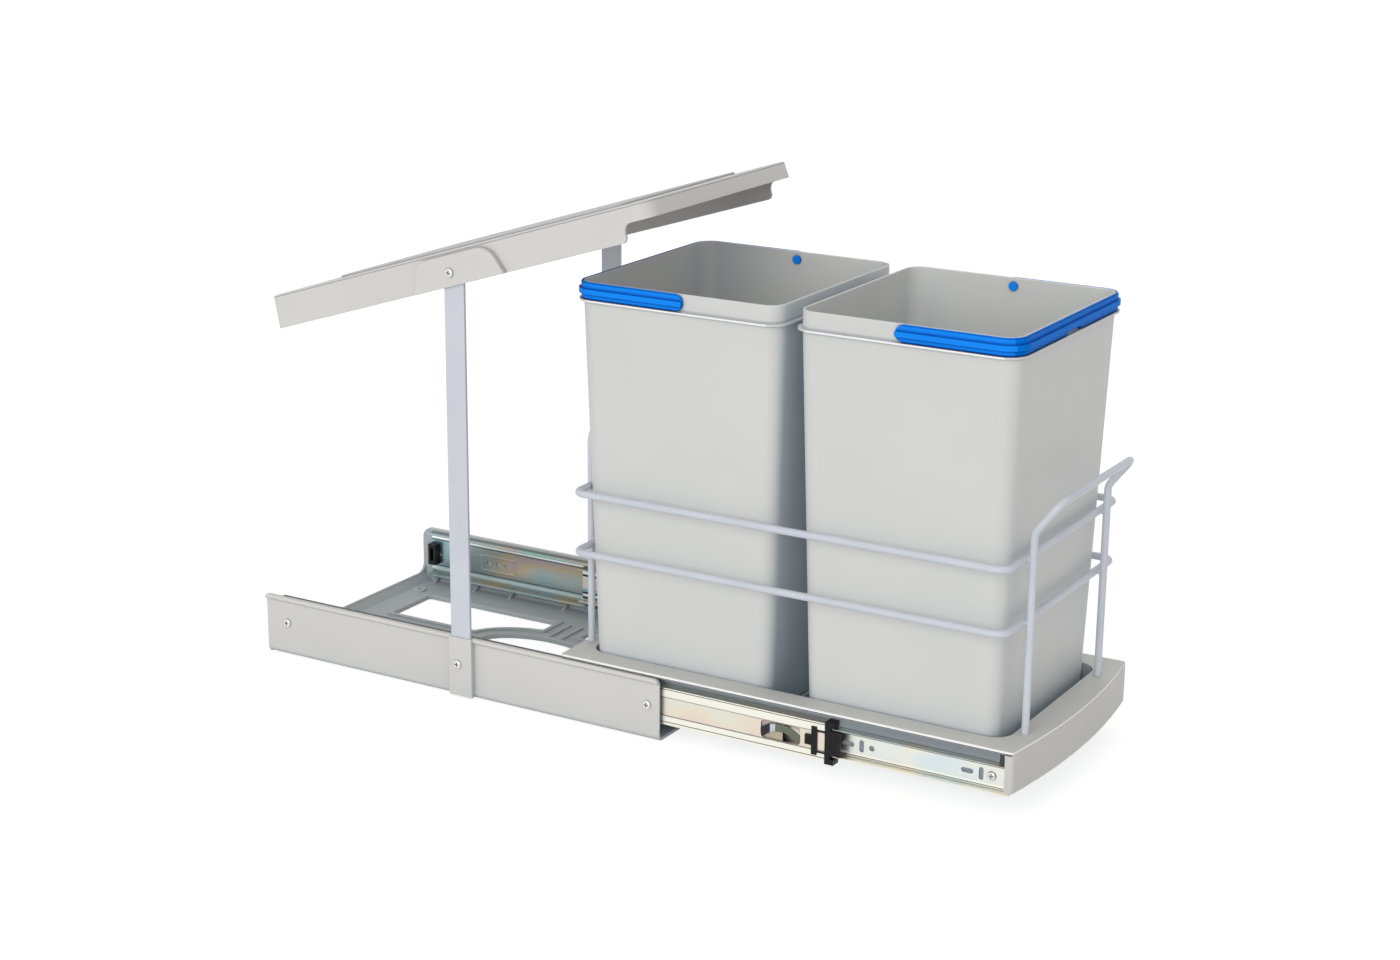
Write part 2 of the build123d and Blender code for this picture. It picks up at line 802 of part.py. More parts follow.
with BuildPart() as pivot_washers:
    for side in (-1, 1):
        with BuildSketch(outward_plane(side, upright_screw_x, upright_face, pivot_z)):
            Circle(washer_diameter / 2)
            Circle(screw_shank / 2 + thread_gap, mode=Mode.SUBTRACT)
        extrude(amount=washer_thickness)
finish(pivot_washers, "pivot_washers")

with BuildPart() as pivot_nuts:
    for side in (-1, 1):
        with BuildSketch(outward_plane(side, upright_screw_x, nut_reach, pivot_z)):
            RegularPolygon(nut_width / 2, 6, major_radius=False)
            Circle(screw_shank / 2 + thread_gap, mode=Mode.SUBTRACT)
        extrude(amount=nut_height)
finish(pivot_nuts, "pivot_nuts")


# Tray: a plate with a deep well for the bins, side walls for the slides and a curved front
def tray_outline(inset):
    """The tray's outline, drawn in by the inset."""
    rear = tray_rear_x + inset
    front = tray_front_x - inset
    half = tray_width / 2 - inset
    with BuildSketch() as outline:
        with BuildLine():
            Line((front, -half), (rear, -half))
            Line((rear, -half), (rear, half))
            Line((rear, half), (front, half))
            ThreePointArc((front, half), (front + tray_bulge, 0), (front, -half))
        make_face()
        fillet(outline.vertices(), tray_corner_round - inset)
    return outline.sketch


opening_span = tray_opening_end - tray_opening_start
tray_opening_x = (tray_opening_start + tray_opening_end) / 2
socket_radius = wire / 2 + foot_fit + socket_wall
foot_places = [
    (x, side * hoop_half_width) for x in (rear_hoop_x, front_hoop_x) for side in (-1, 1)
]
tray_form = tray_outline(0)
skirt_hollow = tray_outline(skirt_thickness)
with BuildPart() as tray:
    with BuildSketch(Plane.XY.offset(plate_z)):
        add(tray_form)
    extrude(amount=tray_plate)
    # the skirt across the front
    skirt_foot = tray_top_z - skirt_height
    with BuildSketch(Plane.XY.offset(skirt_foot)):
        add(tray_form)
        add(skirt_hollow, mode=Mode.SUBTRACT)
        with Locations(((tray_rear_x + skirt_start_x) / 2 - cut_over, 0)):
            skirt_cut = skirt_start_x - tray_rear_x + 2 * cut_over
            Rectangle(skirt_cut, tray_width + 2 * cut_over, mode=Mode.SUBTRACT)
    extrude(amount=plate_z - skirt_foot)
    # the rear skirt
    with BuildSketch(Plane.XY.offset(plate_z - rear_skirt_height)):
        with Locations((tray_rear_x + tray_wall / 2, 0)):
            Rectangle(tray_wall, 2 * tray_face)
    extrude(amount=rear_skirt_height)
    # the well, its floor and the side walls
    with BuildSketch(Plane.XY.offset(tray_floor_z)):
        with Locations((tray_opening_x, 0)):
            RectangleRounded(
                opening_span + 2 * tray_wall,
                tray_opening_width + 2 * tray_wall,
                tray_opening_round + tray_wall,
            )
    extrude(amount=plate_z - tray_floor_z)
    side_length = tray_side_end - tray_side_start
    side_x = (tray_side_start + tray_side_end) / 2
    with BuildSketch(Plane.XY.offset(tray_floor_z)):
        with Locations((side_x, 0)):
            Rectangle(side_length, 2 * tray_face)
            Rectangle(side_length, 2 * (tray_face - tray_wall), mode=Mode.SUBTRACT)
    extrude(amount=plate_z - tray_floor_z)
    with BuildSketch(Plane.XY.offset(tray_floor_z)):
        with Locations((tray_opening_x, 0)):
            Rectangle(opening_span - 2 * tray_opening_round, 2 * tray_face)
    extrude(amount=tray_wall)
    # sockets for the feet of the hoops
    with BuildSketch(Plane.XY.offset(plate_z - socket_depth)):
        with Locations(*foot_places):
            Circle(socket_radius)
    extrude(amount=socket_depth)
    with BuildSketch(Plane.XY.offset(tray_floor_z + tray_wall)):
        with Locations((tray_opening_x, 0)):
            RectangleRounded(opening_span, tray_opening_width, tray_opening_round)
    extrude(amount=tray_top_z - tray_floor_z, mode=Mode.SUBTRACT)
    with BuildSketch(Plane.XY.offset(tray_top_z - foot_depth - foot_fit)):
        with Locations(*foot_places):
            Circle(wire / 2 + foot_fit)
    extrude(amount=foot_depth + foot_fit, mode=Mode.SUBTRACT)
    # the ridge that keeps the two bins apart
    foot_gap = bin_pitch - bin_length + 2 * bin_draft
    with BuildSketch(Plane.XY.offset(tray_floor_z + tray_wall)):
        with Locations((rear_bin_x + bin_pitch / 2, 0)):
            Rectangle(foot_gap - 2 * divider_gap, tray_opening_width)
            Rectangle(
                foot_gap - 2 * divider_gap - 2 * tray_wall,
                tray_opening_width - 2 * tray_wall,
                mode=Mode.SUBTRACT,
            )
    extrude(amount=divider_height)
    for side in (-1, 1):
        for x in tray_screw_places:
            with BuildSketch(outward_plane(side, x, tray_face - tray_wall, slide_axis_z)):
                Circle(screw_shank / 2 + thread_gap)
            extrude(amount=tray_wall, mode=Mode.SUBTRACT)
    top_edges = tray.faces().sort_by(Axis.Z)[-1].outer_wire().edges()
    fillet(top_edges, edge_break)
finish(tray, "tray")


# Wire basket: two rings and two hoops, set against each other where they are welded
def ring(z, name):
    """Makes one closed wire ring at a height, and writes it."""
    rear = rear_hoop_x + wire + weld_gap
    front = front_hoop_x - wire - weld_gap
    with BuildSketch(Plane.XY.offset(z)) as loop:
        with Locations(((rear + front) / 2, 0)):
            RectangleRounded(front - rear, ring_width, ring_round)
    route = loop.sketch.faces()[0].outer_wire()
    with BuildPart() as body:
        with BuildSketch(Plane(origin=route @ 0, z_dir=route % 0)):
            Circle(wire / 2)
        sweep(path=route)
    finish(body, name)


ring(lower_ring_z, "lower_ring")
ring(upper_ring_z, "upper_ring")

foot_z = tray_top_z - foot_depth
with BuildPart() as handle_hoop:
    with BuildLine() as path:
        FilletPolyline(
            (front_hoop_x, -hoop_half_width, foot_z),
            (front_hoop_x, -hoop_half_width, handle_bend_z),
            (front_hoop_x + handle_reach, -hoop_half_width, handle_top_z),
            (front_hoop_x + handle_reach, hoop_half_width, handle_top_z),
            (front_hoop_x, hoop_half_width, handle_bend_z),
            (front_hoop_x, hoop_half_width, foot_z),
            radius=handle_bend_round,
        )
    with BuildSketch(Plane(origin=path.line @ 0, z_dir=path.line % 0)):
        Circle(wire / 2)
    sweep()
finish(handle_hoop, "handle_hoop")

with BuildPart() as rear_hoop:
    with BuildLine() as path:
        FilletPolyline(
            (rear_hoop_x, -hoop_half_width, foot_z),
            (rear_hoop_x, -hoop_half_width, hoop_top_z),
            (rear_hoop_x, hoop_half_width, hoop_top_z),
            (rear_hoop_x, hoop_half_width, foot_z),
            radius=hoop_round,
        )
    with BuildSketch(Plane(origin=path.line @ 0, z_dir=path.line % 0)):
        Circle(wire / 2)
    sweep()
finish(rear_hoop, "rear_hoop")


# Bins: tapered tubs with a ledge and a plain rim band
def make_bin(centre_x, name):
    """Makes one bin about its place on X, and writes it."""
    with BuildPart() as tub:
        with BuildSketch(Plane.XY.offset(bin_foot_z)):
            with Locations((centre_x, 0)):
                RectangleRounded(
                    bin_length - 2 * bin_draft, bin_width - 2 * bin_draft, bin_foot_round
                )
        with BuildSketch(Plane.XY.offset(bin_ledge_z)):
            with Locations((centre_x, 0)):
                RectangleRounded(bin_length, bin_width, bin_round)
        loft()
        fillet(tub.faces().sort_by(Axis.Z)[0].edges(), bin_foot_fillet)
        with BuildSketch(Plane.XY.offset(bin_ledge_z)):
            with Locations((centre_x, 0)):
                RectangleRounded(bin_length, bin_width, bin_round)
        extrude(amount=bin_rim_z - bin_ledge_z)
        with BuildSketch(Plane.XY.offset(bin_ledge_z - bin_ledge_thickness)):
            with Locations((centre_x, 0)):
                RectangleRounded(
                    bin_length + 2 * bin_ledge_reach,
                    bin_width + 2 * bin_ledge_reach,
                    bin_round + bin_ledge_reach,
                )
        extrude(amount=bin_ledge_thickness)
        with BuildSketch(Plane.XY.offset(bin_foot_z + bin_floor)):
            with Locations((centre_x, 0)):
                RectangleRounded(
                    bin_length - 2 * bin_draft - 2 * bin_wall,
                    bin_width - 2 * bin_draft - 2 * bin_wall,
                    bin_foot_round - bin_wall,
                )
        with BuildSketch(Plane.XY.offset(bin_ledge_z)):
            with Locations((centre_x, 0)):
                RectangleRounded(
                    bin_length - 2 * bin_wall, bin_width - 2 * bin_wall, bin_round - bin_wall
                )
        loft(mode=Mode.SUBTRACT)
        with BuildSketch(Plane.XY.offset(bin_ledge_z)):
            with Locations((centre_x, 0)):
                RectangleRounded(
                    bin_length - 2 * bin_wall, bin_width - 2 * bin_wall, bin_round - bin_wall
                )
        extrude(amount=bin_rim_z - bin_ledge_z, mode=Mode.SUBTRACT)
        fillet(tub.faces().sort_by(Axis.Z)[-1].edges(), bin_edge_round)
        for side in (-1, 1):
            inside = bin_width / 2 - bin_wall - cut_over
            with BuildSketch(outward_plane(side, centre_x, inside, pin_z)):
                Circle(pin_diameter / 2 + pin_fit)
            extrude(amount=bin_wall + 2 * cut_over, mode=Mode.SUBTRACT)
    finish(tub, name)


# Handles: ribbed bails that lie round one end of the rim and turn on two pins
def make_bail(centre_x, toward, name):
    """Makes the handle of the bin at a place, lying towards one end, and writes it."""
    inner_length = bin_length + 2 * bail_gap
    inner_width = bin_width + 2 * bail_gap
    core_height = bail_height * bail_core_share
    ridge_height = bail_height * bail_ridge_share
    ridge_z = pin_z - bail_height * bail_ridge_drop_share
    reach = bin_length / 2 + bail_gap + bail_ridge + cut_over
    with BuildPart() as bail:
        for middle, height, thickness in (
            (pin_z, bail_height, bail_edge),
            (pin_z, core_height, bail_core),
            (ridge_z, ridge_height, bail_ridge),
        ):
            with BuildSketch(Plane.XY.offset(middle - height / 2)):
                with Locations((centre_x, 0)):
                    RectangleRounded(
                        inner_length + 2 * thickness,
                        inner_width + 2 * thickness,
                        bin_round + bail_gap + thickness,
                    )
                    RectangleRounded(
                        inner_length, inner_width, bin_round + bail_gap, mode=Mode.SUBTRACT
                    )
            extrude(amount=height)
        # the notch for the fingers in the middle of its lower edge
        with BuildSketch(Plane.XY.offset(pin_z - bail_height / 2)):
            with Locations((centre_x + toward * inner_length / 2, 0)):
                Rectangle(inner_length / 2, grip_notch_length)
        extrude(amount=grip_notch_height, mode=Mode.SUBTRACT)
        # only the half at its own end stays, with round ends about the pins
        with BuildSketch(Plane.XZ.offset(-bin_width)):
            with Locations((centre_x + toward * reach / 2, pin_z)):
                Rectangle(reach, bail_height)
            with Locations((centre_x, pin_z)):
                Circle(bail_height / 2)
        extrude(amount=2 * bin_width, mode=Mode.INTERSECT)
        for side in (-1, 1):
            pin_start = bin_width / 2 - bin_wall - bail_gap - pin_head_thickness
            with BuildSketch(outward_plane(side, centre_x, pin_start, pin_z)):
                Circle(pin_head_diameter / 2)
            extrude(amount=pin_head_thickness)
            with BuildSketch(outward_plane(side, centre_x, pin_start, pin_z)):
                Circle(pin_diameter / 2)
            extrude(amount=bin_width / 2 + bail_gap + bail_core - pin_start)
    finish(bail, name)


for name, place, toward in (("rear", rear_bin_x, -1), ("front", front_bin_x, 1)):
    make_bin(place, f"{name}_bin")
    make_bail(place, toward, f"{name}_bin_handle")


# Lid: a shallow shell with deep sides, a low front and a pocket at each pivot
def lid_plane(height):
    """The lid's own level plane, a height above its pivot axis."""
    return Plane(origin=pivot_point + lid_up * height, x_dir=lid_axis, z_dir=lid_up)


def lid_side_plane(distance):
    """A plane along the lid's side, a distance towards -Y from the middle, facing -Y."""
    return Plane(origin=pivot_point - Vector(0, distance, 0), x_dir=lid_axis, z_dir=(0, -1, 0))


def lid_block(inset, roof_z):
    """The lid's body up to a height, drawn in by the inset: its two ends flare towards the foot."""
    rise = roof_z - lid_foot
    rear_foot = lid_rear + lid_rear_flare - inset
    front_foot_x = lid_front + lid_front_flare - inset
    rear_lean = lid_rear_flare * rise / lid_skirt
    front_lean = lid_front_flare * rise / lid_skirt
    half = lid_half_width - inset
    with BuildPart() as block:
        with BuildSketch(lid_side_plane(half)):
            with BuildLine():
                Polyline(
                    (-rear_foot, lid_foot),
                    (front_foot_x, lid_foot),
                    (front_foot_x - front_lean, roof_z),
                    (-rear_foot + rear_lean, roof_z),
                    close=True,
                )
            make_face()
        extrude(amount=-2 * half)
        level = block.edges().filter_by(Axis(pivot_point, lid_axis))
        across = block.edges().filter_by(Axis.Y)
        corners = (block.edges() - level - across).sort_by(Axis(pivot_point, lid_axis))
        fillet(corners[-2:], lid_front_round - inset)
        fillet(corners[:2], lid_rear_round - inset)
    return block.part


def boss_outline(inset):
    """The pivot pocket's outline along the lid's side, drawn in by the inset."""
    with BuildSketch() as outline:
        with BuildLine():
            Polyline(
                (-boss_rear + inset, lid_foot),
                (boss_front - inset, lid_foot),
                (boss_top_front - inset, boss_top - inset),
                (-boss_top_rear + inset, boss_top - inset),
                close=True,
            )
        make_face()
        top_corners = outline.vertices().group_by(Axis.Y)[-1].sort_by(Axis.X)
        fillet(top_corners[0], boss_rear_round - inset)
        top_corners = outline.vertices().group_by(Axis.Y)[-1].sort_by(Axis.X)
        fillet(top_corners[-1], boss_front_round - inset)
    return outline.sketch


lid_length = lid_rear + lid_front
lid_roof = lid_top + lid_crown
lid_height = Axis(pivot_point, lid_up)
lid_body = lid_block(0, lid_roof)
lid_hollow = lid_block(lid_wall, lid_roof - lid_wall)
boss_form = boss_outline(0)
boss_hollow = boss_outline(boss_wall)
with BuildPart() as lid_shell:
    add(lid_body)
    roof = lid_shell.faces().sort_by(lid_height)[-1]
    fillet(roof.outer_wire().edges(), lid_top_round)
    # the raised deck
    deck_length = lid_length - deck_front_margin - deck_rear_margin
    deck_x = (lid_front - deck_front_margin - lid_rear + deck_rear_margin) / 2
    with BuildSketch(lid_plane(lid_roof)):
        with Locations((deck_x, 0)):
            RectangleRounded(deck_length, 2 * (lid_half_width - deck_margin), deck_round)
    extrude(amount=deck_height)
    deck = lid_shell.faces().sort_by(lid_height)[-1]
    fillet(deck.outer_wire().edges(), deck_edge)
    # the pockets over the tops of the uprights
    for start in (lid_half_width, -boss_face):
        with BuildSketch(lid_side_plane(start)):
            add(boss_form)
        extrude(amount=boss_reach)
    for end in (0, -1):
        pad = lid_shell.faces().filter_by(Axis.Y).sort_by(Axis.Y)[end]
        fillet(pad.edges().sort_by(lid_height)[1:], boss_edge_round)
    # the hollow underneath
    add(lid_hollow, mode=Mode.SUBTRACT)
    hollow_reach = boss_reach - boss_wall + lid_wall + cut_over
    for start in (lid_half_width - lid_wall - cut_over, -(boss_face - boss_wall)):
        with BuildSketch(lid_side_plane(start)):
            add(boss_hollow)
        extrude(amount=hollow_reach, mode=Mode.SUBTRACT)
    # the low front: the sides step up behind it
    front_foot = lid_top - lid_front_skirt
    step_end = lid_front + lid_front_flare + cut_over
    with BuildSketch(lid_side_plane(lid_half_width + cut_over)) as step:
        with BuildLine():
            Polyline(
                (lid_deep_end, lid_foot - cut_over),
                (step_end, lid_foot - cut_over),
                (step_end, front_foot),
                (lid_deep_end, front_foot),
                close=True,
            )
        make_face()
        inner_corner = step.vertices().sort_by_distance((lid_deep_end, front_foot))[0]
        fillet(inner_corner, lid_step_round)
    extrude(amount=-2 * (lid_half_width + cut_over), mode=Mode.SUBTRACT)
    # the rounded lower corner of each deep side
    with BuildSketch(lid_side_plane(lid_half_width + cut_over)):
        with BuildLine():
            corner = (lid_deep_end, lid_foot)
            back = (lid_deep_end - lid_step_foot_round, lid_foot)
            up = (lid_deep_end, lid_foot + lid_step_foot_round)
            Line(corner, back)
            RadiusArc(back, up, -lid_step_foot_round)
            Line(up, corner)
        make_face()
    extrude(amount=-2 * (lid_half_width + cut_over), mode=Mode.SUBTRACT)
    for side in (-1, 1):
        with BuildSketch(outward_plane(side, upright_screw_x, lid_half_width, pivot_z)):
            Circle(screw_shank / 2 + pivot_fit)
        extrude(amount=boss_reach + cut_over, mode=Mode.SUBTRACT)
finish(lid_shell, "lid_shell")
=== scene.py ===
"""Finishes, small fittings and studio for a pull-out frame with two waste bins."""
import logging
import math
from dataclasses import dataclass, field
from enum import Enum
from typing import Any, Callable, Iterable, Sequence

import bpy
from mathutils import Matrix, Vector


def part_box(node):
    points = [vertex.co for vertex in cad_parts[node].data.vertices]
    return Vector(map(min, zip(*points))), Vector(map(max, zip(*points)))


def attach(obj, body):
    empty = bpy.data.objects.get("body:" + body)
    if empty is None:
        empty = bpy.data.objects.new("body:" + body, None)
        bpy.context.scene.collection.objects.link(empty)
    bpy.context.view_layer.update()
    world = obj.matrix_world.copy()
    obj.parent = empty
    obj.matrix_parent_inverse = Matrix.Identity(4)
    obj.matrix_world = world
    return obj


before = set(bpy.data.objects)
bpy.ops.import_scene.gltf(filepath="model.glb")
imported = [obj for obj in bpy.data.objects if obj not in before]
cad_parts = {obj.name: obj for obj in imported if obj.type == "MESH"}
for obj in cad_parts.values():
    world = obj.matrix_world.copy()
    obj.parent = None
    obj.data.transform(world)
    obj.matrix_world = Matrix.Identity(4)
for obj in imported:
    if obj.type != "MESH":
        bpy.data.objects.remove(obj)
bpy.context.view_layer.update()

MM = 0.001
log = logging.getLogger("bin_frame")

WHITE = "FFFFFF"
# The directions of the shared frame: the pull-out, the width and the height
ALONG = (1.0, 0.0, 0.0)
ACROSS = (0.0, 1.0, 0.0)
UP = (0.0, 0.0, 1.0)
# Limits that take in the whole length, and the near half of the width
WHOLE_LENGTH_MM = (-300.0, 600.0)
NEAR_HALF_MM = (-200.0, 0.0)
# Most values of a noise pattern lie between these two
NOISE_LOW, NOISE_HIGH = 0.3, 0.7
# How many rays a material sends to feel for other surfaces and for edges
CREVICE_SHADE_SAMPLES, EDGE_SAMPLES = 8, 4
# How well the rounded normal matches the true one where a face starts to bend, and on an edge
FLAT_MATCH, EDGE_MATCH = 0.99, 0.86


class Side(Enum):
    """The two sides of the frame, by the sign of their Y."""

    NEAR = -1
    FAR = 1


class End(Enum):
    """The two ends of the tray, by the sign of their X."""

    REAR = -1
    FRONT = 1


# Materials


def linear(hex_colour: str) -> tuple[float, float, float, float]:
    """Turns an sRGB hex colour to linear light.

    Args:
        hex_colour: six hex digits.

    Returns:
        Red, green, blue and an alpha of one.
    """
    channels = [int(hex_colour[i : i + 2], 16) / 255 for i in (0, 2, 4)]
    light = [c / 12.92 if c <= 0.04045 else ((c + 0.055) / 1.055) ** 2.4 for c in channels]
    return (*light, 1.0)


def add_node(
    tree: bpy.types.NodeTree,
    kind: str,
    links: dict[str | int, bpy.types.NodeSocket] | None = None,
    inputs: dict[str | int, Any] | None = None,
    **settings: Any,
) -> bpy.types.Node:
    """Adds one node with its settings, its input values and its incoming links.

    Args:
        tree: the node tree that gets the node.
        kind: the node's type name.
        links: input name or number to the socket that feeds it.
        inputs: input name or number to its value.
        settings: attributes of the node itself.

    Returns:
        The new node.
    """
    node = tree.nodes.new(kind)
    for name, value in settings.items():
        setattr(node, name, value)
    for name, value in (inputs or {}).items():
        node.inputs[name].default_value = value
    for name, socket in (links or {}).items():
        tree.links.new(socket, node.inputs[name])
    return node


def new_material(name: str) -> tuple[bpy.types.Material, bpy.types.NodeTree]:
    """Starts an empty node material.

    Args:
        name: the material's name.

    Returns:
        The material and its node tree.
    """
    material = bpy.data.materials.new(name)
    material.use_nodes = True
    material.node_tree.nodes.clear()
    return material, material.node_tree


def spread_colours(
    tree: bpy.types.NodeTree, source: bpy.types.NodeSocket, stops: Sequence[tuple[float, str]]
) -> bpy.types.NodeSocket:
    """Spreads colours over a value.

    Args:
        tree: the node tree.
        source: the value.
        stops: positions from 0 to 1, each with its sRGB hex colour.

    Returns:
        The colour socket.
    """
    ramp = add_node(tree, "ShaderNodeValToRGB", {"Fac": source})
    elements = ramp.color_ramp.elements
    elements[0].position, elements[0].color = stops[0][0], linear(stops[0][1])
    elements[1].position, elements[1].color = stops[-1][0], linear(stops[-1][1])
    for position, colour in stops[1:-1]:
        elements.new(position).color = linear(colour)
    return ramp.outputs["Color"]


@dataclass(frozen=True)
class Region:
    """A part of a surface with painted light or shade: the places between two lengths along a direction.
    """

    direction: tuple[float, float, float]
    from_mm: float
    to_mm: float
    colour: str
    both_sides: bool = False
    facing: float = 0.0  # the least share of the surface's normal that points along the direction
    height_mm: tuple[float, float] | None = None  # the lowest and the highest place over the floor


def along(
    tree: bpy.types.NodeTree,
    vector: bpy.types.NodeSocket,
    direction: tuple[float, float, float],
    both_sides: bool,
) -> bpy.types.NodeSocket:
    """Measures a vector along a direction.

    Args:
        tree: the node tree.
        vector: the vector.
        direction: the direction, of length one.
        both_sides: whether the sign is dropped.

    Returns:
        The length's socket.
    """
    length = add_node(
        tree, "ShaderNodeVectorMath", {0: vector}, {1: direction}, operation="DOT_PRODUCT"
    ).outputs["Value"]
    if not both_sides:
        return length
    return add_node(tree, "ShaderNodeMath", {0: length}, operation="ABSOLUTE").outputs["Value"]


def blend(
    tree: bpy.types.NodeTree, share: bpy.types.NodeSocket, tint: bpy.types.NodeSocket, colour: str
) -> bpy.types.NodeSocket:
    """Blends a fixed colour over another.

    Args:
        tree: the node tree.
        share: how much of the fixed colour shows.
        tint: the colour so far.
        colour: the fixed colour.

    Returns:
        The blended colour.
    """
    mix = add_node(
        tree, "ShaderNodeMix", {"Factor": share, "A": tint}, {"B": linear(colour)}, data_type="RGBA"
    )
    return mix.outputs["Result"]


def between(
    tree: bpy.types.NodeTree, length: bpy.types.NodeSocket, low_mm: float, high_mm: float
) -> bpy.types.NodeSocket:
    """Marks the places whose length lies between two ends.

    Args:
        tree: the node tree.
        length: the length in metres.
        low_mm: the lower end.
        high_mm: the higher end.

    Returns:
        A socket that is one between the ends and zero elsewhere.
    """
    middle, reach = (low_mm + high_mm) / 2 * MM, (high_mm - low_mm) / 2 * MM
    mark = add_node(tree, "ShaderNodeMath", {0: length}, {1: middle, 2: reach}, operation="COMPARE")
    return mark.outputs["Value"]


def paint(
    tree: bpy.types.NodeTree, place: bpy.types.NodeSocket, tint: bpy.types.NodeSocket, region: Region
) -> bpy.types.NodeSocket:
    """Paints the light or shade of one region.

    Args:
        tree: the node tree.
        place: the object coordinates.
        tint: the colour so far.
        region: the region.

    Returns:
        The colour with the region in it.
    """
    length = along(tree, place, region.direction, region.both_sides)
    mask = between(tree, length, region.from_mm, region.to_mm)
    if region.facing > 0:
        normal = add_node(tree, "ShaderNodeNewGeometry").outputs["True Normal"]
        turned = add_node(
            tree,
            "ShaderNodeMath",
            {0: along(tree, normal, region.direction, True)},
            {1: region.facing},
            operation="GREATER_THAN",
        )
        mask = add_node(
            tree, "ShaderNodeMath", {0: mask, 1: turned.outputs["Value"]}, operation="MULTIPLY"
        ).outputs["Value"]
    if region.height_mm is not None:
        level = between(tree, along(tree, place, UP, False), *region.height_mm)
        mask = add_node(
            tree, "ShaderNodeMath", {0: mask, 1: level}, operation="MULTIPLY"
        ).outputs["Value"]
    return blend(tree, mask, tint, region.colour)


def paint_crevice_shade(
    tree: bpy.types.NodeTree,
    tint: bpy.types.NodeSocket,
    reach_mm: float,
    colour: str,
    limits: tuple[float, float],
) -> bpy.types.NodeSocket:
    """Paints shade into the places that stand close to other surfaces.

    Args:
        tree: the node tree.
        tint: the colour so far.
        reach_mm: how near the other surfaces are.
        colour: the painted shade's colour where the place is wholly hemmed in.
        limits: the open shares at which the place counts as sheltered and as open.

    Returns:
        The darkened colour.
    """
    opening = add_node(
        tree,
        "ShaderNodeAmbientOcclusion",
        inputs={"Distance": reach_mm * MM},
        samples=CREVICE_SHADE_SAMPLES,
    )
    share = add_node(
        tree,
        "ShaderNodeMapRange",
        {"Value": opening.outputs["AO"]},
        {"From Min": limits[0], "From Max": limits[1], "To Min": 1.0, "To Max": 0.0},
    )
    return blend(tree, share.outputs["Result"], tint, colour)


def paint_edge_highlights(
    tree: bpy.types.NodeTree,
    rounded: bpy.types.NodeSocket,
    tint: bpy.types.NodeSocket,
    share: float,
    colour: str,
) -> bpy.types.NodeSocket:
    """Paints highlights on the sharp edges, where they would catch the light.

    Args:
        tree: the node tree.
        rounded: the normal of the rounded edges.
        tint: the colour so far.
        share: how strong the painted highlight is.
        colour: the painted highlight's colour.

    Returns:
        The colour with its painted edge highlights.
    """
    true = add_node(tree, "ShaderNodeNewGeometry").outputs["Normal"]
    match = add_node(tree, "ShaderNodeVectorMath", {0: rounded, 1: true}, operation="DOT_PRODUCT")
    mask = add_node(
        tree,
        "ShaderNodeMapRange",
        {"Value": match.outputs["Value"]},
        {"From Min": FLAT_MATCH, "From Max": EDGE_MATCH, "To Min": 0.0, "To Max": share},
    )
    return blend(tree, mask.outputs["Result"], tint, colour)


def relief(
    tree: bpy.types.NodeTree, pattern: bpy.types.NodeSocket, depth_mm: float, edge_mm: float
) -> tuple[bpy.types.NodeSocket, bpy.types.NodeSocket]:
    """Rounds the sharp edges a little and raises a fine pattern on the surface.

    Args:
        tree: the node tree.
        pattern: the pattern, from zero to one.
        depth_mm: its depth.
        edge_mm: the radius that a tool or a coat leaves on a sharp edge.

    Returns:
        The normal of the rounded edges alone, and the one that has the pattern too.
    """
    edge = add_node(tree, "ShaderNodeBevel", inputs={"Radius": edge_mm * MM}, samples=EDGE_SAMPLES)
    bump = add_node(
        tree,
        "ShaderNodeBump",
        {"Height": pattern, "Normal": edge.outputs["Normal"]},
        {"Strength": 1.0, "Distance": depth_mm * MM},
    )
    return edge.outputs["Normal"], bump.outputs["Normal"]


def uneven_gloss(
    tree: bpy.types.NodeTree,
    pattern: bpy.types.NodeSocket,
    roughness: float,
    drift: tuple[float, float],
) -> bpy.types.NodeSocket:
    """Lets the roughness drift with a pattern, so that the highlights break up.

    Args:
        tree: the node tree.
        pattern: the pattern, from zero to one.
        roughness: the roughness without drift.
        drift: what the pattern's lowest and highest values add to it.

    Returns:
        The roughness.
    """
    share = add_node(
        tree,
        "ShaderNodeMapRange",
        {"Value": pattern},
        {"To Min": roughness + drift[0], "To Max": roughness + drift[1]},
    )
    return share.outputs["Result"]


def close_material(
    tree: bpy.types.NodeTree, links: dict[str, bpy.types.NodeSocket], inputs: dict[str, float]
) -> None:
    """Ends a material with its shader and its output.

    Args:
        tree: the node tree.
        links: the shader's inputs that nodes feed.
        inputs: its inputs that are the same all over the surface.
    """
    shader = add_node(tree, "ShaderNodeBsdfPrincipled", links, inputs)
    add_node(tree, "ShaderNodeOutputMaterial", {"Surface": shader.outputs["BSDF"]})


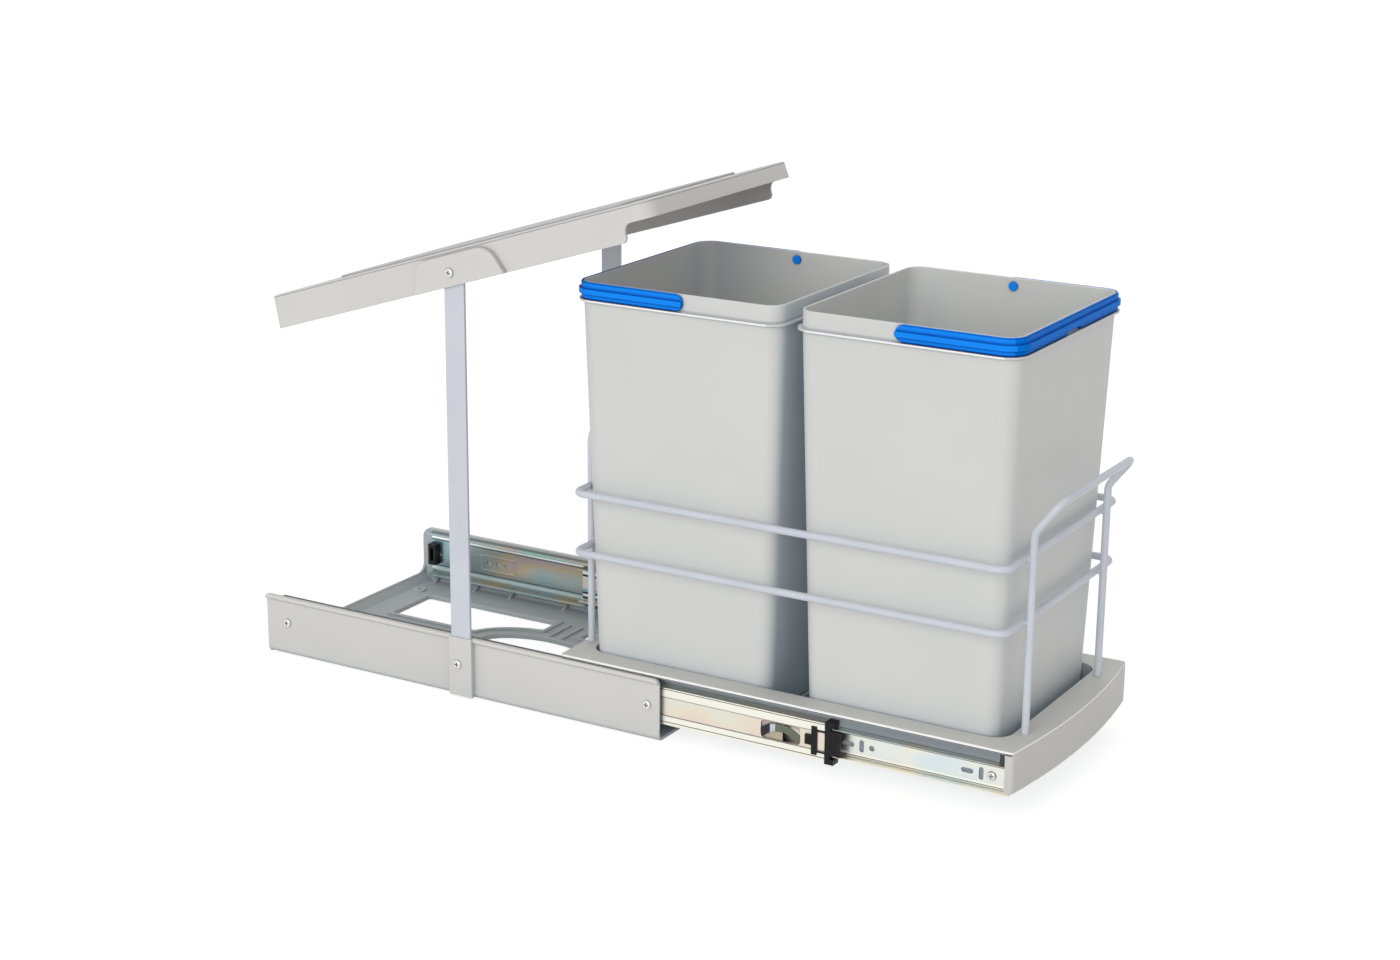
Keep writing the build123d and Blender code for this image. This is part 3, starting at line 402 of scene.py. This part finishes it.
@dataclass(frozen=True)
class MouldedPlastic:
    """Injection-moulded polypropylene, ABS or acetal from a spark-eroded tool: satin, finely grained.

    The grain gives a soft broken highlight, and slow drifts of shade show the melt's flow.
    Deep places get a cooler painted shade and seams a darker one, and the edges get painted highlights.
    """

    name: str
    colour: str
    shade: str
    roughness: float = 0.5
    roughness_drift: tuple[float, float] = (-0.04, 0.04)
    gloss: float = 0.35
    grain_mm: float = 1.1  # drawn about four times as coarse as the real tool's grain, so that it shows
    grain_depth_mm: float = 0.012
    flow_mm: float = 90.0
    edge_mm: float = 0.7
    # the painted highlight on the sharp edges
    edge_highlight_colour: str = WHITE
    edge_highlight_share: float = 0.0
    # the painted shade: cooler in deep places, darker in seams
    deep_shade: str = "AAB3BA"
    deep_shade_mm: float = 140.0
    deep_shade_limits: tuple[float, float] = (0.0, 0.85)
    seam_shade: str = "8C8E90"
    seam_shade_mm: float = 3.0
    seam_shade_limits: tuple[float, float] = (0.35, 0.85)
    regions: tuple[Region, ...] = ()

    def make(self) -> bpy.types.Material:
        """Builds the material.

        Returns:
            The material.
        """
        material, tree = new_material(self.name)
        place = add_node(tree, "ShaderNodeTexCoord").outputs["Object"]
        flow = add_node(
            tree,
            "ShaderNodeTexNoise",
            {"Vector": place},
            {"Scale": 1 / (self.flow_mm * MM), "Detail": 3.0, "Roughness": 0.5},
        )
        stops = ((NOISE_LOW, self.shade), (NOISE_HIGH, self.colour))
        tint = spread_colours(tree, flow.outputs["Fac"], stops)
        for region in self.regions:
            tint = paint(tree, place, tint, region)
        # painted shade in deep places and in seams
        tint = paint_crevice_shade(tree, tint, self.deep_shade_mm, self.deep_shade, self.deep_shade_limits)
        tint = paint_crevice_shade(tree, tint, self.seam_shade_mm, self.seam_shade, self.seam_shade_limits)
        grain = add_node(
            tree,
            "ShaderNodeTexNoise",
            {"Vector": place},
            {"Scale": 1 / (self.grain_mm * MM), "Detail": 2.0, "Roughness": 0.6},
        )
        rounded, normal = relief(tree, grain.outputs["Fac"], self.grain_depth_mm, self.edge_mm)
        tint = paint_edge_highlights(tree, rounded, tint, self.edge_highlight_share, self.edge_highlight_colour)
        roughness = uneven_gloss(tree, flow.outputs["Fac"], self.roughness, self.roughness_drift)
        close_material(
            tree,
            {"Base Color": tint, "Normal": normal, "Roughness": roughness},
            {"IOR": 1.49, "Specular IOR Level": self.gloss},
        )
        return material


@dataclass(frozen=True)
class PowderCoat:
    """Polyester powder coat on steel wire and bar: smooth, half gloss, with slight orange peel.

    The peel makes long highlights waver a little along the wires.
    """

    name: str
    colour: str
    shade: str
    roughness: float = 0.33
    peel_mm: float = 2.2
    peel_depth_mm: float = 0.02
    cloud_mm: float = 40.0
    edge_mm: float = 0.4

    def make(self) -> bpy.types.Material:
        """Builds the material.

        Returns:
            The material.
        """
        material, tree = new_material(self.name)
        place = add_node(tree, "ShaderNodeTexCoord").outputs["Object"]
        peel = add_node(
            tree,
            "ShaderNodeTexNoise",
            {"Vector": place},
            {"Scale": 1 / (self.peel_mm * MM), "Detail": 1.0},
        )
        cloud = add_node(
            tree,
            "ShaderNodeTexNoise",
            {"Vector": place},
            {"Scale": 1 / (self.cloud_mm * MM), "Detail": 2.0},
        )
        stops = ((NOISE_LOW, self.shade), (NOISE_HIGH, self.colour))
        tint = spread_colours(tree, cloud.outputs["Fac"], stops)
        normal = relief(tree, peel.outputs["Fac"], self.peel_depth_mm, self.edge_mm)[1]
        close_material(
            tree, {"Base Color": tint, "Normal": normal}, {"Roughness": self.roughness, "IOR": 1.5}
        )
        return material


@dataclass(frozen=True)
class ZincPlate:
    """Cold-rolled steel, zinc plated and chromated: bright, with rolling lines and a faint rainbow film.

    The film's colour drifts from straw to pink, green and blue along the strip. Its folds and seams
    get painted shade, and its edges painted highlights.
    """

    name: str
    film: tuple[tuple[float, str], ...]
    seam_shade: str
    roughness: float = 0.34
    roughness_drift: tuple[float, float] = (-0.06, 0.08)
    film_mm: tuple[float, float] = (80.0, 34.0)  # how long and how wide its patches are
    line_mm: float = 0.9  # rolling lines, drawn coarser than real ones so that they show
    line_length_mm: float = 60.0
    line_depth_mm: float = 0.01
    edge_mm: float = 0.5
    # the painted shade in seams, and the painted highlight on edges
    seam_shade_mm: float = 2.5
    seam_shade_limits: tuple[float, float] = (0.35, 0.9)
    edge_highlight_share: float = 0.6
    regions: tuple[Region, ...] = ()

    def make(self) -> bpy.types.Material:
        """Builds the material.

        Returns:
            The material.
        """
        material, tree = new_material(self.name)
        place = add_node(tree, "ShaderNodeTexCoord").outputs["Object"]
        lengthwise, across = (1 / (mm * MM) for mm in self.film_mm)
        stretched = add_node(
            tree, "ShaderNodeMapping", {"Vector": place}, {"Scale": (lengthwise, across, across)}
        )
        film = add_node(
            tree,
            "ShaderNodeTexNoise",
            {"Vector": stretched.outputs["Vector"]},
            {"Scale": 1.0, "Detail": 1.0, "Roughness": 0.4, "Distortion": 0.4},
        )
        tint = spread_colours(tree, film.outputs["Fac"], self.film)
        for region in self.regions:
            tint = paint(tree, place, tint, region)
        tint = paint_crevice_shade(tree, tint, self.seam_shade_mm, self.seam_shade, self.seam_shade_limits)
        lengthwise, across = 1 / (self.line_length_mm * MM), 1 / (self.line_mm * MM)
        lines = add_node(
            tree, "ShaderNodeMapping", {"Vector": place}, {"Scale": (lengthwise, across, across)}
        )
        rolled = add_node(
            tree,
            "ShaderNodeTexNoise",
            {"Vector": lines.outputs["Vector"]},
            {"Scale": 1.0, "Detail": 2.0},
        )
        rounded, normal = relief(tree, rolled.outputs["Fac"], self.line_depth_mm, self.edge_mm)
        tint = paint_edge_highlights(tree, rounded, tint, self.edge_highlight_share, WHITE)
        roughness = uneven_gloss(tree, rolled.outputs["Fac"], self.roughness, self.roughness_drift)
        close_material(
            tree, {"Base Color": tint, "Normal": normal, "Roughness": roughness}, {"Metallic": 1.0}
        )
        return material


@dataclass(frozen=True)
class BrightSteel:
    """Polished or nickel-plated steel of screws, washers and balls.

    Fine turning marks break its highlights, and the drive recesses get painted shade.
    """

    name: str
    colour: str = "D9D8D4"
    light: str = "ECEBE8"
    mark_mm: float = 0.8
    # the painted shade in the drive recesses
    recess_shade: str = "2C2C2E"
    recess_shade_mm: float = 1.6
    recess_shade_limits: tuple[float, float] = (0.4, 0.95)
    roughness: float = 0.22
    roughness_drift: tuple[float, float] = (-0.05, 0.1)

    def make(self) -> bpy.types.Material:
        """Builds the material.

        Returns:
            The material.
        """
        material, tree = new_material(self.name)
        place = add_node(tree, "ShaderNodeTexCoord").outputs["Object"]
        marks = add_node(
            tree,
            "ShaderNodeTexNoise",
            {"Vector": place},
            {"Scale": 1 / (self.mark_mm * MM), "Detail": 2.0},
        )
        roughness = uneven_gloss(tree, marks.outputs["Fac"], self.roughness, self.roughness_drift)
        stops = ((NOISE_LOW, self.colour), (NOISE_HIGH, self.light))
        tint = spread_colours(tree, marks.outputs["Fac"], stops)
        tint = paint_crevice_shade(tree, tint, self.recess_shade_mm, self.recess_shade, self.recess_shade_limits)
        close_material(tree, {"Base Color": tint, "Roughness": roughness}, {"Metallic": 1.0})
        return material


def box_mm(node: str) -> tuple[Vector, Vector]:
    """The lowest and the highest corner of a CAD node, in millimetres."""
    low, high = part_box(node)
    return low / MM, high / MM


def span(face_mm: float, from_mm: float, to_mm: float) -> tuple[float, float]:
    """The places of two distances from a face or an edge."""
    return face_mm + from_mm, face_mm + to_mm


def rail_lines(
    node: str, heights_mm: Sequence[float], width_mm: float, colour: str
) -> tuple[Region, ...]:
    """Painted light along a rail: highlights and reflections on its folds, and shade in its grooves.

    Args:
        node: the rail's name.
        heights_mm: the lines' heights over its lower edge.
        width_mm: the lines' width.
        colour: the lines' colour.

    Returns:
        The lines as regions.
    """
    foot = box_mm(node)[0].z
    return tuple(
        Region(UP, *span(foot, height, height + width_mm), colour) for height in heights_mm
    )


# The colours of the chromate film over the noise, from thin to thick
CREAM_FILM = (
    (0.28, "D2DBD6"),
    (0.40, "DEDFD3"),
    (0.48, "E3DAC8"),
    (0.56, "E2D3C6"),
    (0.64, "DCDAC8"),
    (0.74, "CFDBD0"),
)
STRAW_FILM = (
    (0.28, "D6E2E4"),
    (0.40, "E2E6E0"),
    (0.48, "EBE8D9"),
    (0.56, "EDDFD3"),
    (0.64, "E2E6D9"),
    (0.74, "D3E2DD"),
)
BLUE_FILM = (
    (0.30, "84B2B6"),
    (0.41, "9AABAB"),
    (0.50, "A3ABA7"),
    (0.57, "B5A88C"),
    (0.63, "AC9DA0"),
    (0.72, "86B6A8"),
)
# The faces and edges that the painted regions follow
TRAY_SIDE_MM = box_mm("tray")[1].y
TRAY_FRONT_MM = box_mm("tray")[1].x
TRAY_TOP_MM = box_mm("tray")[1].z
BIN_SIDE_MM = box_mm("front_bin")[1].y
WALL_INSIDE_MM = box_mm("outer_rail_far")[1].y
CABINET_RAIL_TOP_MM = box_mm("outer_rail_near")[1].z
DRAWER_RAIL_BACK_MM = box_mm("drawer_rail_far")[0].y
LATCH_REAR_MM = box_mm("slide_latch_near")[0].x
# The lid's own up direction at rest, and its pivot's height along that direction
LID_TILT = math.radians(17.7)
LID_UP = (-math.sin(LID_TILT), 0.0, math.cos(LID_TILT))
LID_PIVOT_MM = Vector(LID_UP).dot(sum(box_mm("pivot_screws"), Vector()) / 2)


@dataclass
class Finishes:
    """Every finish of the frame, made once."""

    base: bpy.types.Material = field(
        default_factory=lambda: MouldedPlastic(
            "base_grey_moulding",
            "DAD8D3",
            "D5D3CE",
            edge_mm=1.1,
            edge_highlight_share=0.7,
            deep_shade_limits=(0.0, 0.7),
            seam_shade="4A4C50",
            seam_shade_limits=(0.15, 0.7),
            regions=(
                # painted shade, darker and cooler, on the floor and the insides of the walls
                Region(ACROSS, 0.0, WALL_INSIDE_MM + 0.4, "B2B8BA", both_sides=True),
            ),
        ).make()
    )
    lid: bpy.types.Material = field(
        default_factory=lambda: MouldedPlastic(
            "lid_grey_moulding",
            "D8D7D4",
            "D4D3D0",
            edge_highlight_share=0.3,
            deep_shade="A39F99",
            regions=(
                # painted shade in the joint under the top's edge, and on the raised panel
                Region(LID_UP, *span(LID_PIVOT_MM, 16.6, 17.5), "A2A2A2"),
                Region(LID_UP, *span(LID_PIVOT_MM, 19.4, 30.0), "C4C5C8"),
            ),
        ).make()
    )
    bin: bpy.types.Material = field(
        default_factory=lambda: MouldedPlastic(
            "bin_grey_polypropylene",
            "D9D9D6",
            "D5D6D4",
            roughness=0.42,
            grain_depth_mm=0.008,
            edge_mm=1.2,
            edge_highlight_share=0.75,
            deep_shade="C4CFD8",
            deep_shade_limits=(0.0, 0.8),
            seam_shade="6A6E72",
            seam_shade_limits=(0.3, 0.9),
            regions=(
                # the light on the ledge's edge
                Region(ACROSS, *span(BIN_SIDE_MM, -0.8, 0.5), WHITE, both_sides=True),
            ),
        ).make()
    )
    tray: bpy.types.Material = field(
        default_factory=lambda: MouldedPlastic(
            "tray_grey_moulding",
            "D3D2CD",
            "CDCCC6",
            edge_mm=1.2,
            edge_highlight_share=0.9,
            deep_shade_limits=(0.0, 0.6),
            regions=(
                # the shaded skirt behind the drawer members
                Region(
                    ACROSS,
                    *span(DRAWER_RAIL_BACK_MM, -6.8, 1.2),
                    "878E94",
                    both_sides=True,
                    facing=0.7,
                ),
                # the light on the long edges, and the shade under them
                Region(
                    ACROSS,
                    *span(TRAY_SIDE_MM, -0.9, 0.4),
                    WHITE,
                    both_sides=True,
                    height_mm=span(TRAY_TOP_MM, -1.5, 0.7),
                ),
                Region(
                    ACROSS,
                    *span(TRAY_SIDE_MM, -0.9, 0.4),
                    "5A5D60",
                    both_sides=True,
                    height_mm=span(TRAY_TOP_MM, -3.3, -1.7),
                ),
                # the light on the bowed front edge
                Region(
                    ALONG,
                    *span(TRAY_FRONT_MM, -60.0, 1.0),
                    WHITE,
                    facing=0.5,
                    height_mm=span(TRAY_TOP_MM, -1.1, 0.9),
                ),
            ),
            seam_shade="4A4C50",
            seam_shade_limits=(0.1, 0.6),
        ).make()
    )
    blue: bpy.types.Material = field(
        default_factory=lambda: MouldedPlastic(
            "blue_handle_moulding",
            "1C90FF",
            "1888F6",
            roughness=0.26,
            gloss=0.02,
            grain_depth_mm=0.004,
            edge_mm=0.9,
            edge_highlight_colour="1E96FF",
            edge_highlight_share=0.45,
            deep_shade="0058C4",
            deep_shade_limits=(0.0, 0.4),
            seam_shade="002F8C",
            seam_shade_limits=(0.4, 0.98),
            regions=(
                # painted shade on the bows, which look to the front and to the rear
                Region(ALONG, *WHOLE_LENGTH_MM, "0076DE", facing=0.7),
            ),
        ).make()
    )
    black: bpy.types.Material = field(
        default_factory=lambda: MouldedPlastic(
            "black_acetal_moulding",
            "141416",
            "0F0F11",
            roughness=0.3,
            gloss=0.25,
            edge_highlight_colour="606064",
            edge_highlight_share=0.35,
            deep_shade="0C0C0D",
            seam_shade="050505",
        ).make()
    )
    coat: bpy.types.Material = field(
        default_factory=lambda: PowderCoat("pale_grey_powder_coat", "D1D5DD", "CBCFD8").make()
    )
    mid_zinc: bpy.types.Material = field(
        default_factory=lambda: ZincPlate(
            "cream_zinc_plate",
            CREAM_FILM,
            "55524A",
            regions=(
                # painted highlight bands on the folds, and painted shade lines at the steps
                *rail_lines("intermediate_rail_near", (0.0, 26.4), 8.6, "EFEDE2"),
                *rail_lines("intermediate_rail_near", (3.0, 8.6, 25.8, 33.2), 0.8, "6E6B61"),
            ),
        ).make()
    )
    race_zinc: bpy.types.Material = field(
        default_factory=lambda: ZincPlate(
            "raced_zinc_plate",
            CREAM_FILM,
            "44423C",
            regions=(
                # painted shade lines in the ball races, painted highlight lines on the folds, and a
                # painted cyan reflection band
                *rail_lines("intermediate_rail_far", (2.2, 7.4, 25.4, 30.6), 2.2, "3A4042"),
                *rail_lines("intermediate_rail_far", (4.8, 28.0), 2.2, "FAFFFF"),
                *rail_lines("intermediate_rail_far", (10.0,), 3.0, "8CC4CC"),
            ),
        ).make()
    )
    lever: bpy.types.Material = field(
        default_factory=lambda: MouldedPlastic(
            "dark_lever_moulding",
            # the dark colour stands in for the shade in the window: painted shade
            "1E2234",
            "2C1C24",
            roughness=0.3,
            flow_mm=6.0,
            deep_shade="14161E",
            seam_shade="0A0A10",
            regions=(
                # a painted highlight as a pale band and a painted reflection as a grey-green band, where
                # the lever shows in the window
                Region(ALONG, *span(LATCH_REAR_MM, 9.0, 14.0), "DDE6F0"),
                Region(ALONG, *span(LATCH_REAR_MM, 14.0, 42.0), "767C6C"),
            ),
        ).make()
    )
    pale_zinc: bpy.types.Material = field(
        default_factory=lambda: ZincPlate(
            "straw_zinc_plate",
            STRAW_FILM,
            "55524A",
            regions=(
                # a painted highlight line on the fold, and painted shade lines along the edges
                *rail_lines("drawer_rail_near", (3.6,), 1.6, "F6F5EE"),
                *rail_lines("drawer_rail_near", (2.8, 24.2), 0.8, "6E6B61"),
            ),
        ).make()
    )
    blue_zinc: bpy.types.Material = field(
        default_factory=lambda: ZincPlate(
            "blue_zinc_plate",
            BLUE_FILM,
            "3E4648",
            roughness=0.28,
            film_mm=(110.0, 60.0),
            edge_highlight_share=0.9,
            regions=(
                # a painted cyan reflection band, painted highlight lines on the rolled edges, and
                # painted shade lines
                *rail_lines("outer_rail_near", (4.6,), 4.6, "C4E8EE"),
                *rail_lines("outer_rail_near", (5.6, 38.8), 2.2, "FAFFFF"),
                *rail_lines("outer_rail_near", (9.4, 37.2), 1.0, "56666A"),
                # painted shadow in the gap over the near member
                Region(
                    ACROSS,
                    *NEAR_HALF_MM,
                    "262C2E",
                    height_mm=span(CABINET_RAIL_TOP_MM, -0.6, 0.4),
                ),
            ),
        ).make()
    )
    steel: bpy.types.Material = field(default_factory=lambda: BrightSteel("bright_steel").make())


def dress(nodes: Iterable[str], material: bpy.types.Material) -> None:
    """Gives CAD nodes one finish.

    Args:
        nodes: the nodes' names.
        material: the finish.
    """
    for name in nodes:
        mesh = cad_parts[name].data
        mesh.materials.clear()
        mesh.materials.append(material)
        log.info("dressed %s in %s", name, material.name)


def side_names(*stems: str) -> list[str]:
    """The names of nodes that come as a near and a far one."""
    return [f"{stem}_{side.name.lower()}" for stem in stems for side in Side]


# Modelling helpers


def fresh(add: Callable[..., Any], **settings: Any) -> bpy.types.Object:
    """Adds a primitive with nothing else selected and its place in its mesh.

    Args:
        add: the primitive's operator.
        settings: the operator's settings.

    Returns:
        The new object.
    """
    bpy.ops.object.select_all(action="DESELECT")
    add(**settings)
    made = bpy.context.object
    bpy.ops.object.transform_apply(location=True, rotation=True, scale=True)
    return made


def settle(
    piece: bpy.types.Object, name: str, body: str, material: bpy.types.Material
) -> None:
    """Names and dresses a finished piece and puts it on its body.

    Args:
        piece: the finished object.
        name: its name.
        body: the CAD body that it rides on.
        material: its finish.
    """
    piece.name = name
    piece.data.name = name
    piece.data.materials.clear()
    piece.data.materials.append(material)
    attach(piece, body)
    log.info("made %s on %s", name, body)


def join(pieces: Sequence[bpy.types.Object]) -> bpy.types.Object:
    """Joins several objects into the first.

    Args:
        pieces: the objects.

    Returns:
        The joined object.
    """
    bpy.ops.object.select_all(action="DESELECT")
    for piece in pieces:
        piece.select_set(True)
    bpy.context.view_layer.objects.active = pieces[0]
    bpy.ops.object.join()
    return bpy.context.object


# Sub-assemblies


@dataclass
class Base:
    """The moulded base with its walls, uprights and fixed screws."""

    finishes: Finishes

    def build(self) -> None:
        """Dresses the base's nodes."""
        dress(["base_plate"], self.finishes.base)
        dress(side_names("upright"), self.finishes.coat)
        screws = ["wall_screws", "upright_screws", "pivot_screws", "pivot_washers", "pivot_nuts"]
        dress(screws, self.finishes.steel)


@dataclass
class Slides:
    """The two ball slides with their cages, stops and latches."""

    finishes: Finishes

    def build(self) -> None:
        """Dresses the slides' nodes."""
        dress(["intermediate_rail_near"], self.finishes.mid_zinc)
        dress(["intermediate_rail_far"], self.finishes.race_zinc)
        dress(side_names("drawer_rail"), self.finishes.pale_zinc)
        members = side_names("outer_rail", "outer_cage", "inner_cage")
        dress(members, self.finishes.blue_zinc)
        dress(side_names("outer_balls", "inner_balls"), self.finishes.steel)
        dress(["rail_bumpers", *side_names("stop_clip")], self.finishes.black)
        dress(side_names("slide_latch"), self.finishes.lever)
        dress(["tray_rail_screws"], self.finishes.steel)


@dataclass
class Tray:
    """The tray and the wire basket that is welded up on it."""

    finishes: Finishes
    bead_share: float = 0.42  # of the wire's thickness
    bead_stretch: tuple[float, float, float] = (0.55, 1.25, 1.15)
    bead_segments: int = 20
    bead_rings: int = 12

    def build(self) -> None:
        """Dresses the tray and its wires, and adds the welds."""
        dress(["tray"], self.finishes.tray)
        dress(["lower_ring", "upper_ring", "handle_hoop", "rear_hoop"], self.finishes.coat)
        self.welds()

    def welds(self) -> None:
        """Makes the small weld beads where the rings meet the hoops."""
        beads = []
        for ring in ("lower_ring", "upper_ring"):
            low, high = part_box(ring)
            wire = high.z - low.z
            height = (low.z + high.z) / 2
            for hoop, end in (("rear_hoop", End.REAR), ("handle_hoop", End.FRONT)):
                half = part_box(hoop)[1].y - wire / 2
                reach = high.x if end is End.FRONT else low.x
                for side in Side:
                    beads.append(self.bead((reach, side.value * half, height), wire))
        settle(join(beads), "weld_beads", "tray", self.finishes.coat)

    def bead(self, place: tuple[float, float, float], wire: float) -> bpy.types.Object:
        """Models one weld bead, a low lump pulled out along the wires.

        Args:
            place: its middle, in the shared frame.
            wire: the wire's thickness.

        Returns:
            The bead.
        """
        made = fresh(
            bpy.ops.mesh.primitive_uv_sphere_add,
            segments=self.bead_segments,
            ring_count=self.bead_rings,
            radius=wire * self.bead_share,
            location=place,
        )
        bpy.ops.object.mode_set(mode="EDIT")
        bpy.ops.mesh.select_all(action="SELECT")
        bpy.ops.transform.resize(value=self.bead_stretch, center_override=place)
        bpy.ops.object.mode_set(mode="OBJECT")
        bpy.ops.object.shade_smooth()
        return made


@dataclass
class Bins:
    """The two bins and their blue handles."""

    finishes: Finishes

    def build(self) -> None:
        """Dresses the bins and the handles."""
        dress(["rear_bin", "front_bin"], self.finishes.bin)
        dress(["rear_bin_handle", "front_bin_handle"], self.finishes.blue)


@dataclass
class Lid:
    """The tilting lid."""

    finishes: Finishes

    def build(self) -> None:
        """Dresses the lid."""
        dress(["lid_shell"], self.finishes.lid)


# Studio


@dataclass(frozen=True)
class Lamp:
    """One far, wide soft lamp, which gives the whole floor the same light."""

    name: str
    toward: tuple[float, float, float]  # the direction from the object to the lamp
    spread_deg: float  # how wide it looks
    strength: float  # watts per square metre

    def build(self) -> None:
        """Adds the lamp to the scene."""
        data = bpy.data.lights.new(self.name, "SUN")
        data.angle, data.energy = math.radians(self.spread_deg), self.strength
        made = bpy.data.objects.new(self.name, data)
        bpy.context.collection.objects.link(made)
        made.location = self.toward
        made.rotation_euler = Vector(self.toward).to_track_quat("Z", "Y").to_euler()


@dataclass
class Studio:
    """Floor, world, lamps and camera."""

    # The camera's place, turn and lens
    camera_place: tuple[float, float, float] = (1.2817, -1.8753, 0.8426)
    azimuth_deg: float = 30.31
    elevation_deg: float = 16.42
    roll_deg: float = 0.53
    focal_px: float = 2514.8
    centre_px: float = 700.5
    image_width_px: int = 1400
    sensor_mm: float = 36.0
    clip_end: float = 100.0
    # The light: how strong the surround is, and what the floor glows, returns and shows
    ambient: float = 0.55
    floor_glow: float = 0.8
    floor_bounce: float = 0.88
    floor_shade: float = 0.36
    floor_size: float = 60.0
    floor_drop: float = 0.2 * MM  # so that the object's underside doesn't lie in the floor
    lamps: tuple[Lamp, ...] = (
        Lamp("front_lamp", (0.12, -0.94, 0.32), 50.0, 1.3),
        Lamp("top_lamp", (-0.2, 0.2, 0.95), 70.0, 0.2),
    )

    def build(self) -> None:
        """Builds the whole studio."""
        self.floor()
        self.world()
        for lamp in self.lamps:
            lamp.build()
        self.camera()

    def seen(self, tree: bpy.types.NodeTree) -> bpy.types.NodeSocket:
        """A value of one for rays that see the background straight, in gloss or through glass.

        Args:
            tree: the node tree.

        Returns:
            The value's socket.
        """
        path = add_node(tree, "ShaderNodeLightPath")
        first = add_node(
            tree,
            "ShaderNodeMath",
            {0: path.outputs["Is Camera Ray"], 1: path.outputs["Is Glossy Ray"]},
            operation="MAXIMUM",
        )
        both = add_node(
            tree,
            "ShaderNodeMath",
            {0: first.outputs["Value"], 1: path.outputs["Is Transmission Ray"]},
            operation="MAXIMUM",
        )
        return both.outputs["Value"]

    def floor(self) -> None:
        """Makes the pale floor, which keeps the object's shadow."""
        plane = fresh(
            bpy.ops.mesh.primitive_plane_add,
            size=self.floor_size,
            location=(0, 0, -self.floor_drop),
        )
        plane.name = "studio_floor"
        material, tree = new_material("pale_studio_floor")
        lift = add_node(
            tree, "ShaderNodeMath", {0: self.seen(tree)}, {1: self.floor_glow}, operation="MULTIPLY"
        )
        glow = add_node(tree, "ShaderNodeEmission", {"Strength": lift.outputs["Value"]})
        shade = add_node(
            tree,
            "ShaderNodeMapRange",
            {"Value": self.seen(tree)},
            {"To Min": self.floor_bounce, "To Max": self.floor_shade},
        )
        paper = add_node(tree, "ShaderNodeBsdfDiffuse", {"Color": shade.outputs["Result"]})
        both = add_node(
            tree, "ShaderNodeAddShader", {0: glow.outputs["Emission"], 1: paper.outputs["BSDF"]}
        )
        add_node(tree, "ShaderNodeOutputMaterial", {"Surface": both.outputs["Shader"]})
        plane.data.materials.append(material)

    def world(self) -> None:
        """Makes a white surround that lights the object softly."""
        world = bpy.data.worlds.new("white_surround")
        bpy.context.scene.world = world
        world.use_nodes = True
        tree = world.node_tree
        tree.nodes.clear()
        level = add_node(
            tree,
            "ShaderNodeMapRange",
            {"Value": self.seen(tree)},
            {"To Min": self.ambient, "To Max": 1.0},
        )
        surround = add_node(
            tree,
            "ShaderNodeBackground",
            {"Strength": level.outputs["Result"]},
            {"Color": linear(WHITE)},
        )
        add_node(tree, "ShaderNodeOutputWorld", {"Surface": surround.outputs["Background"]})

    def camera(self) -> None:
        """Sets the camera at the measured place, with its roll."""
        data = bpy.data.cameras.new("camera")
        camera = bpy.data.objects.new("camera", data)
        bpy.context.collection.objects.link(camera)
        data.sensor_width = self.sensor_mm
        data.lens = self.sensor_mm * self.focal_px / self.image_width_px
        data.shift_x = (self.image_width_px / 2 - self.centre_px) / self.image_width_px
        data.clip_end = self.clip_end
        azimuth, elevation = math.radians(self.azimuth_deg), math.radians(self.elevation_deg)
        roll = math.radians(self.roll_deg)
        outwards = Vector((math.sin(azimuth), -math.cos(azimuth), 0))
        back = math.cos(elevation) * outwards + math.sin(elevation) * Vector(UP)
        level_right = Vector((math.cos(azimuth), math.sin(azimuth), 0))
        level_up = back.cross(level_right)
        right = math.cos(roll) * level_right + math.sin(roll) * level_up
        up = -math.sin(roll) * level_right + math.cos(roll) * level_up
        turn = Matrix((right, up, back)).transposed().to_4x4()
        camera.matrix_world = Matrix.Translation(self.camera_place) @ turn
        bpy.context.scene.camera = camera


def main() -> None:
    """Builds every sub-assembly and the studio."""
    logging.basicConfig(level=logging.INFO, format="%(name)s: %(message)s")
    finishes = Finishes()
    for assembly in (Base(finishes), Slides(finishes), Tray(finishes), Bins(finishes), Lid(finishes)):
        assembly.build()
        log.info("built %s", type(assembly).__name__)
    Studio().build()
    bpy.context.scene.view_settings.view_transform = "Standard"


if __name__ == "__main__":
    main()
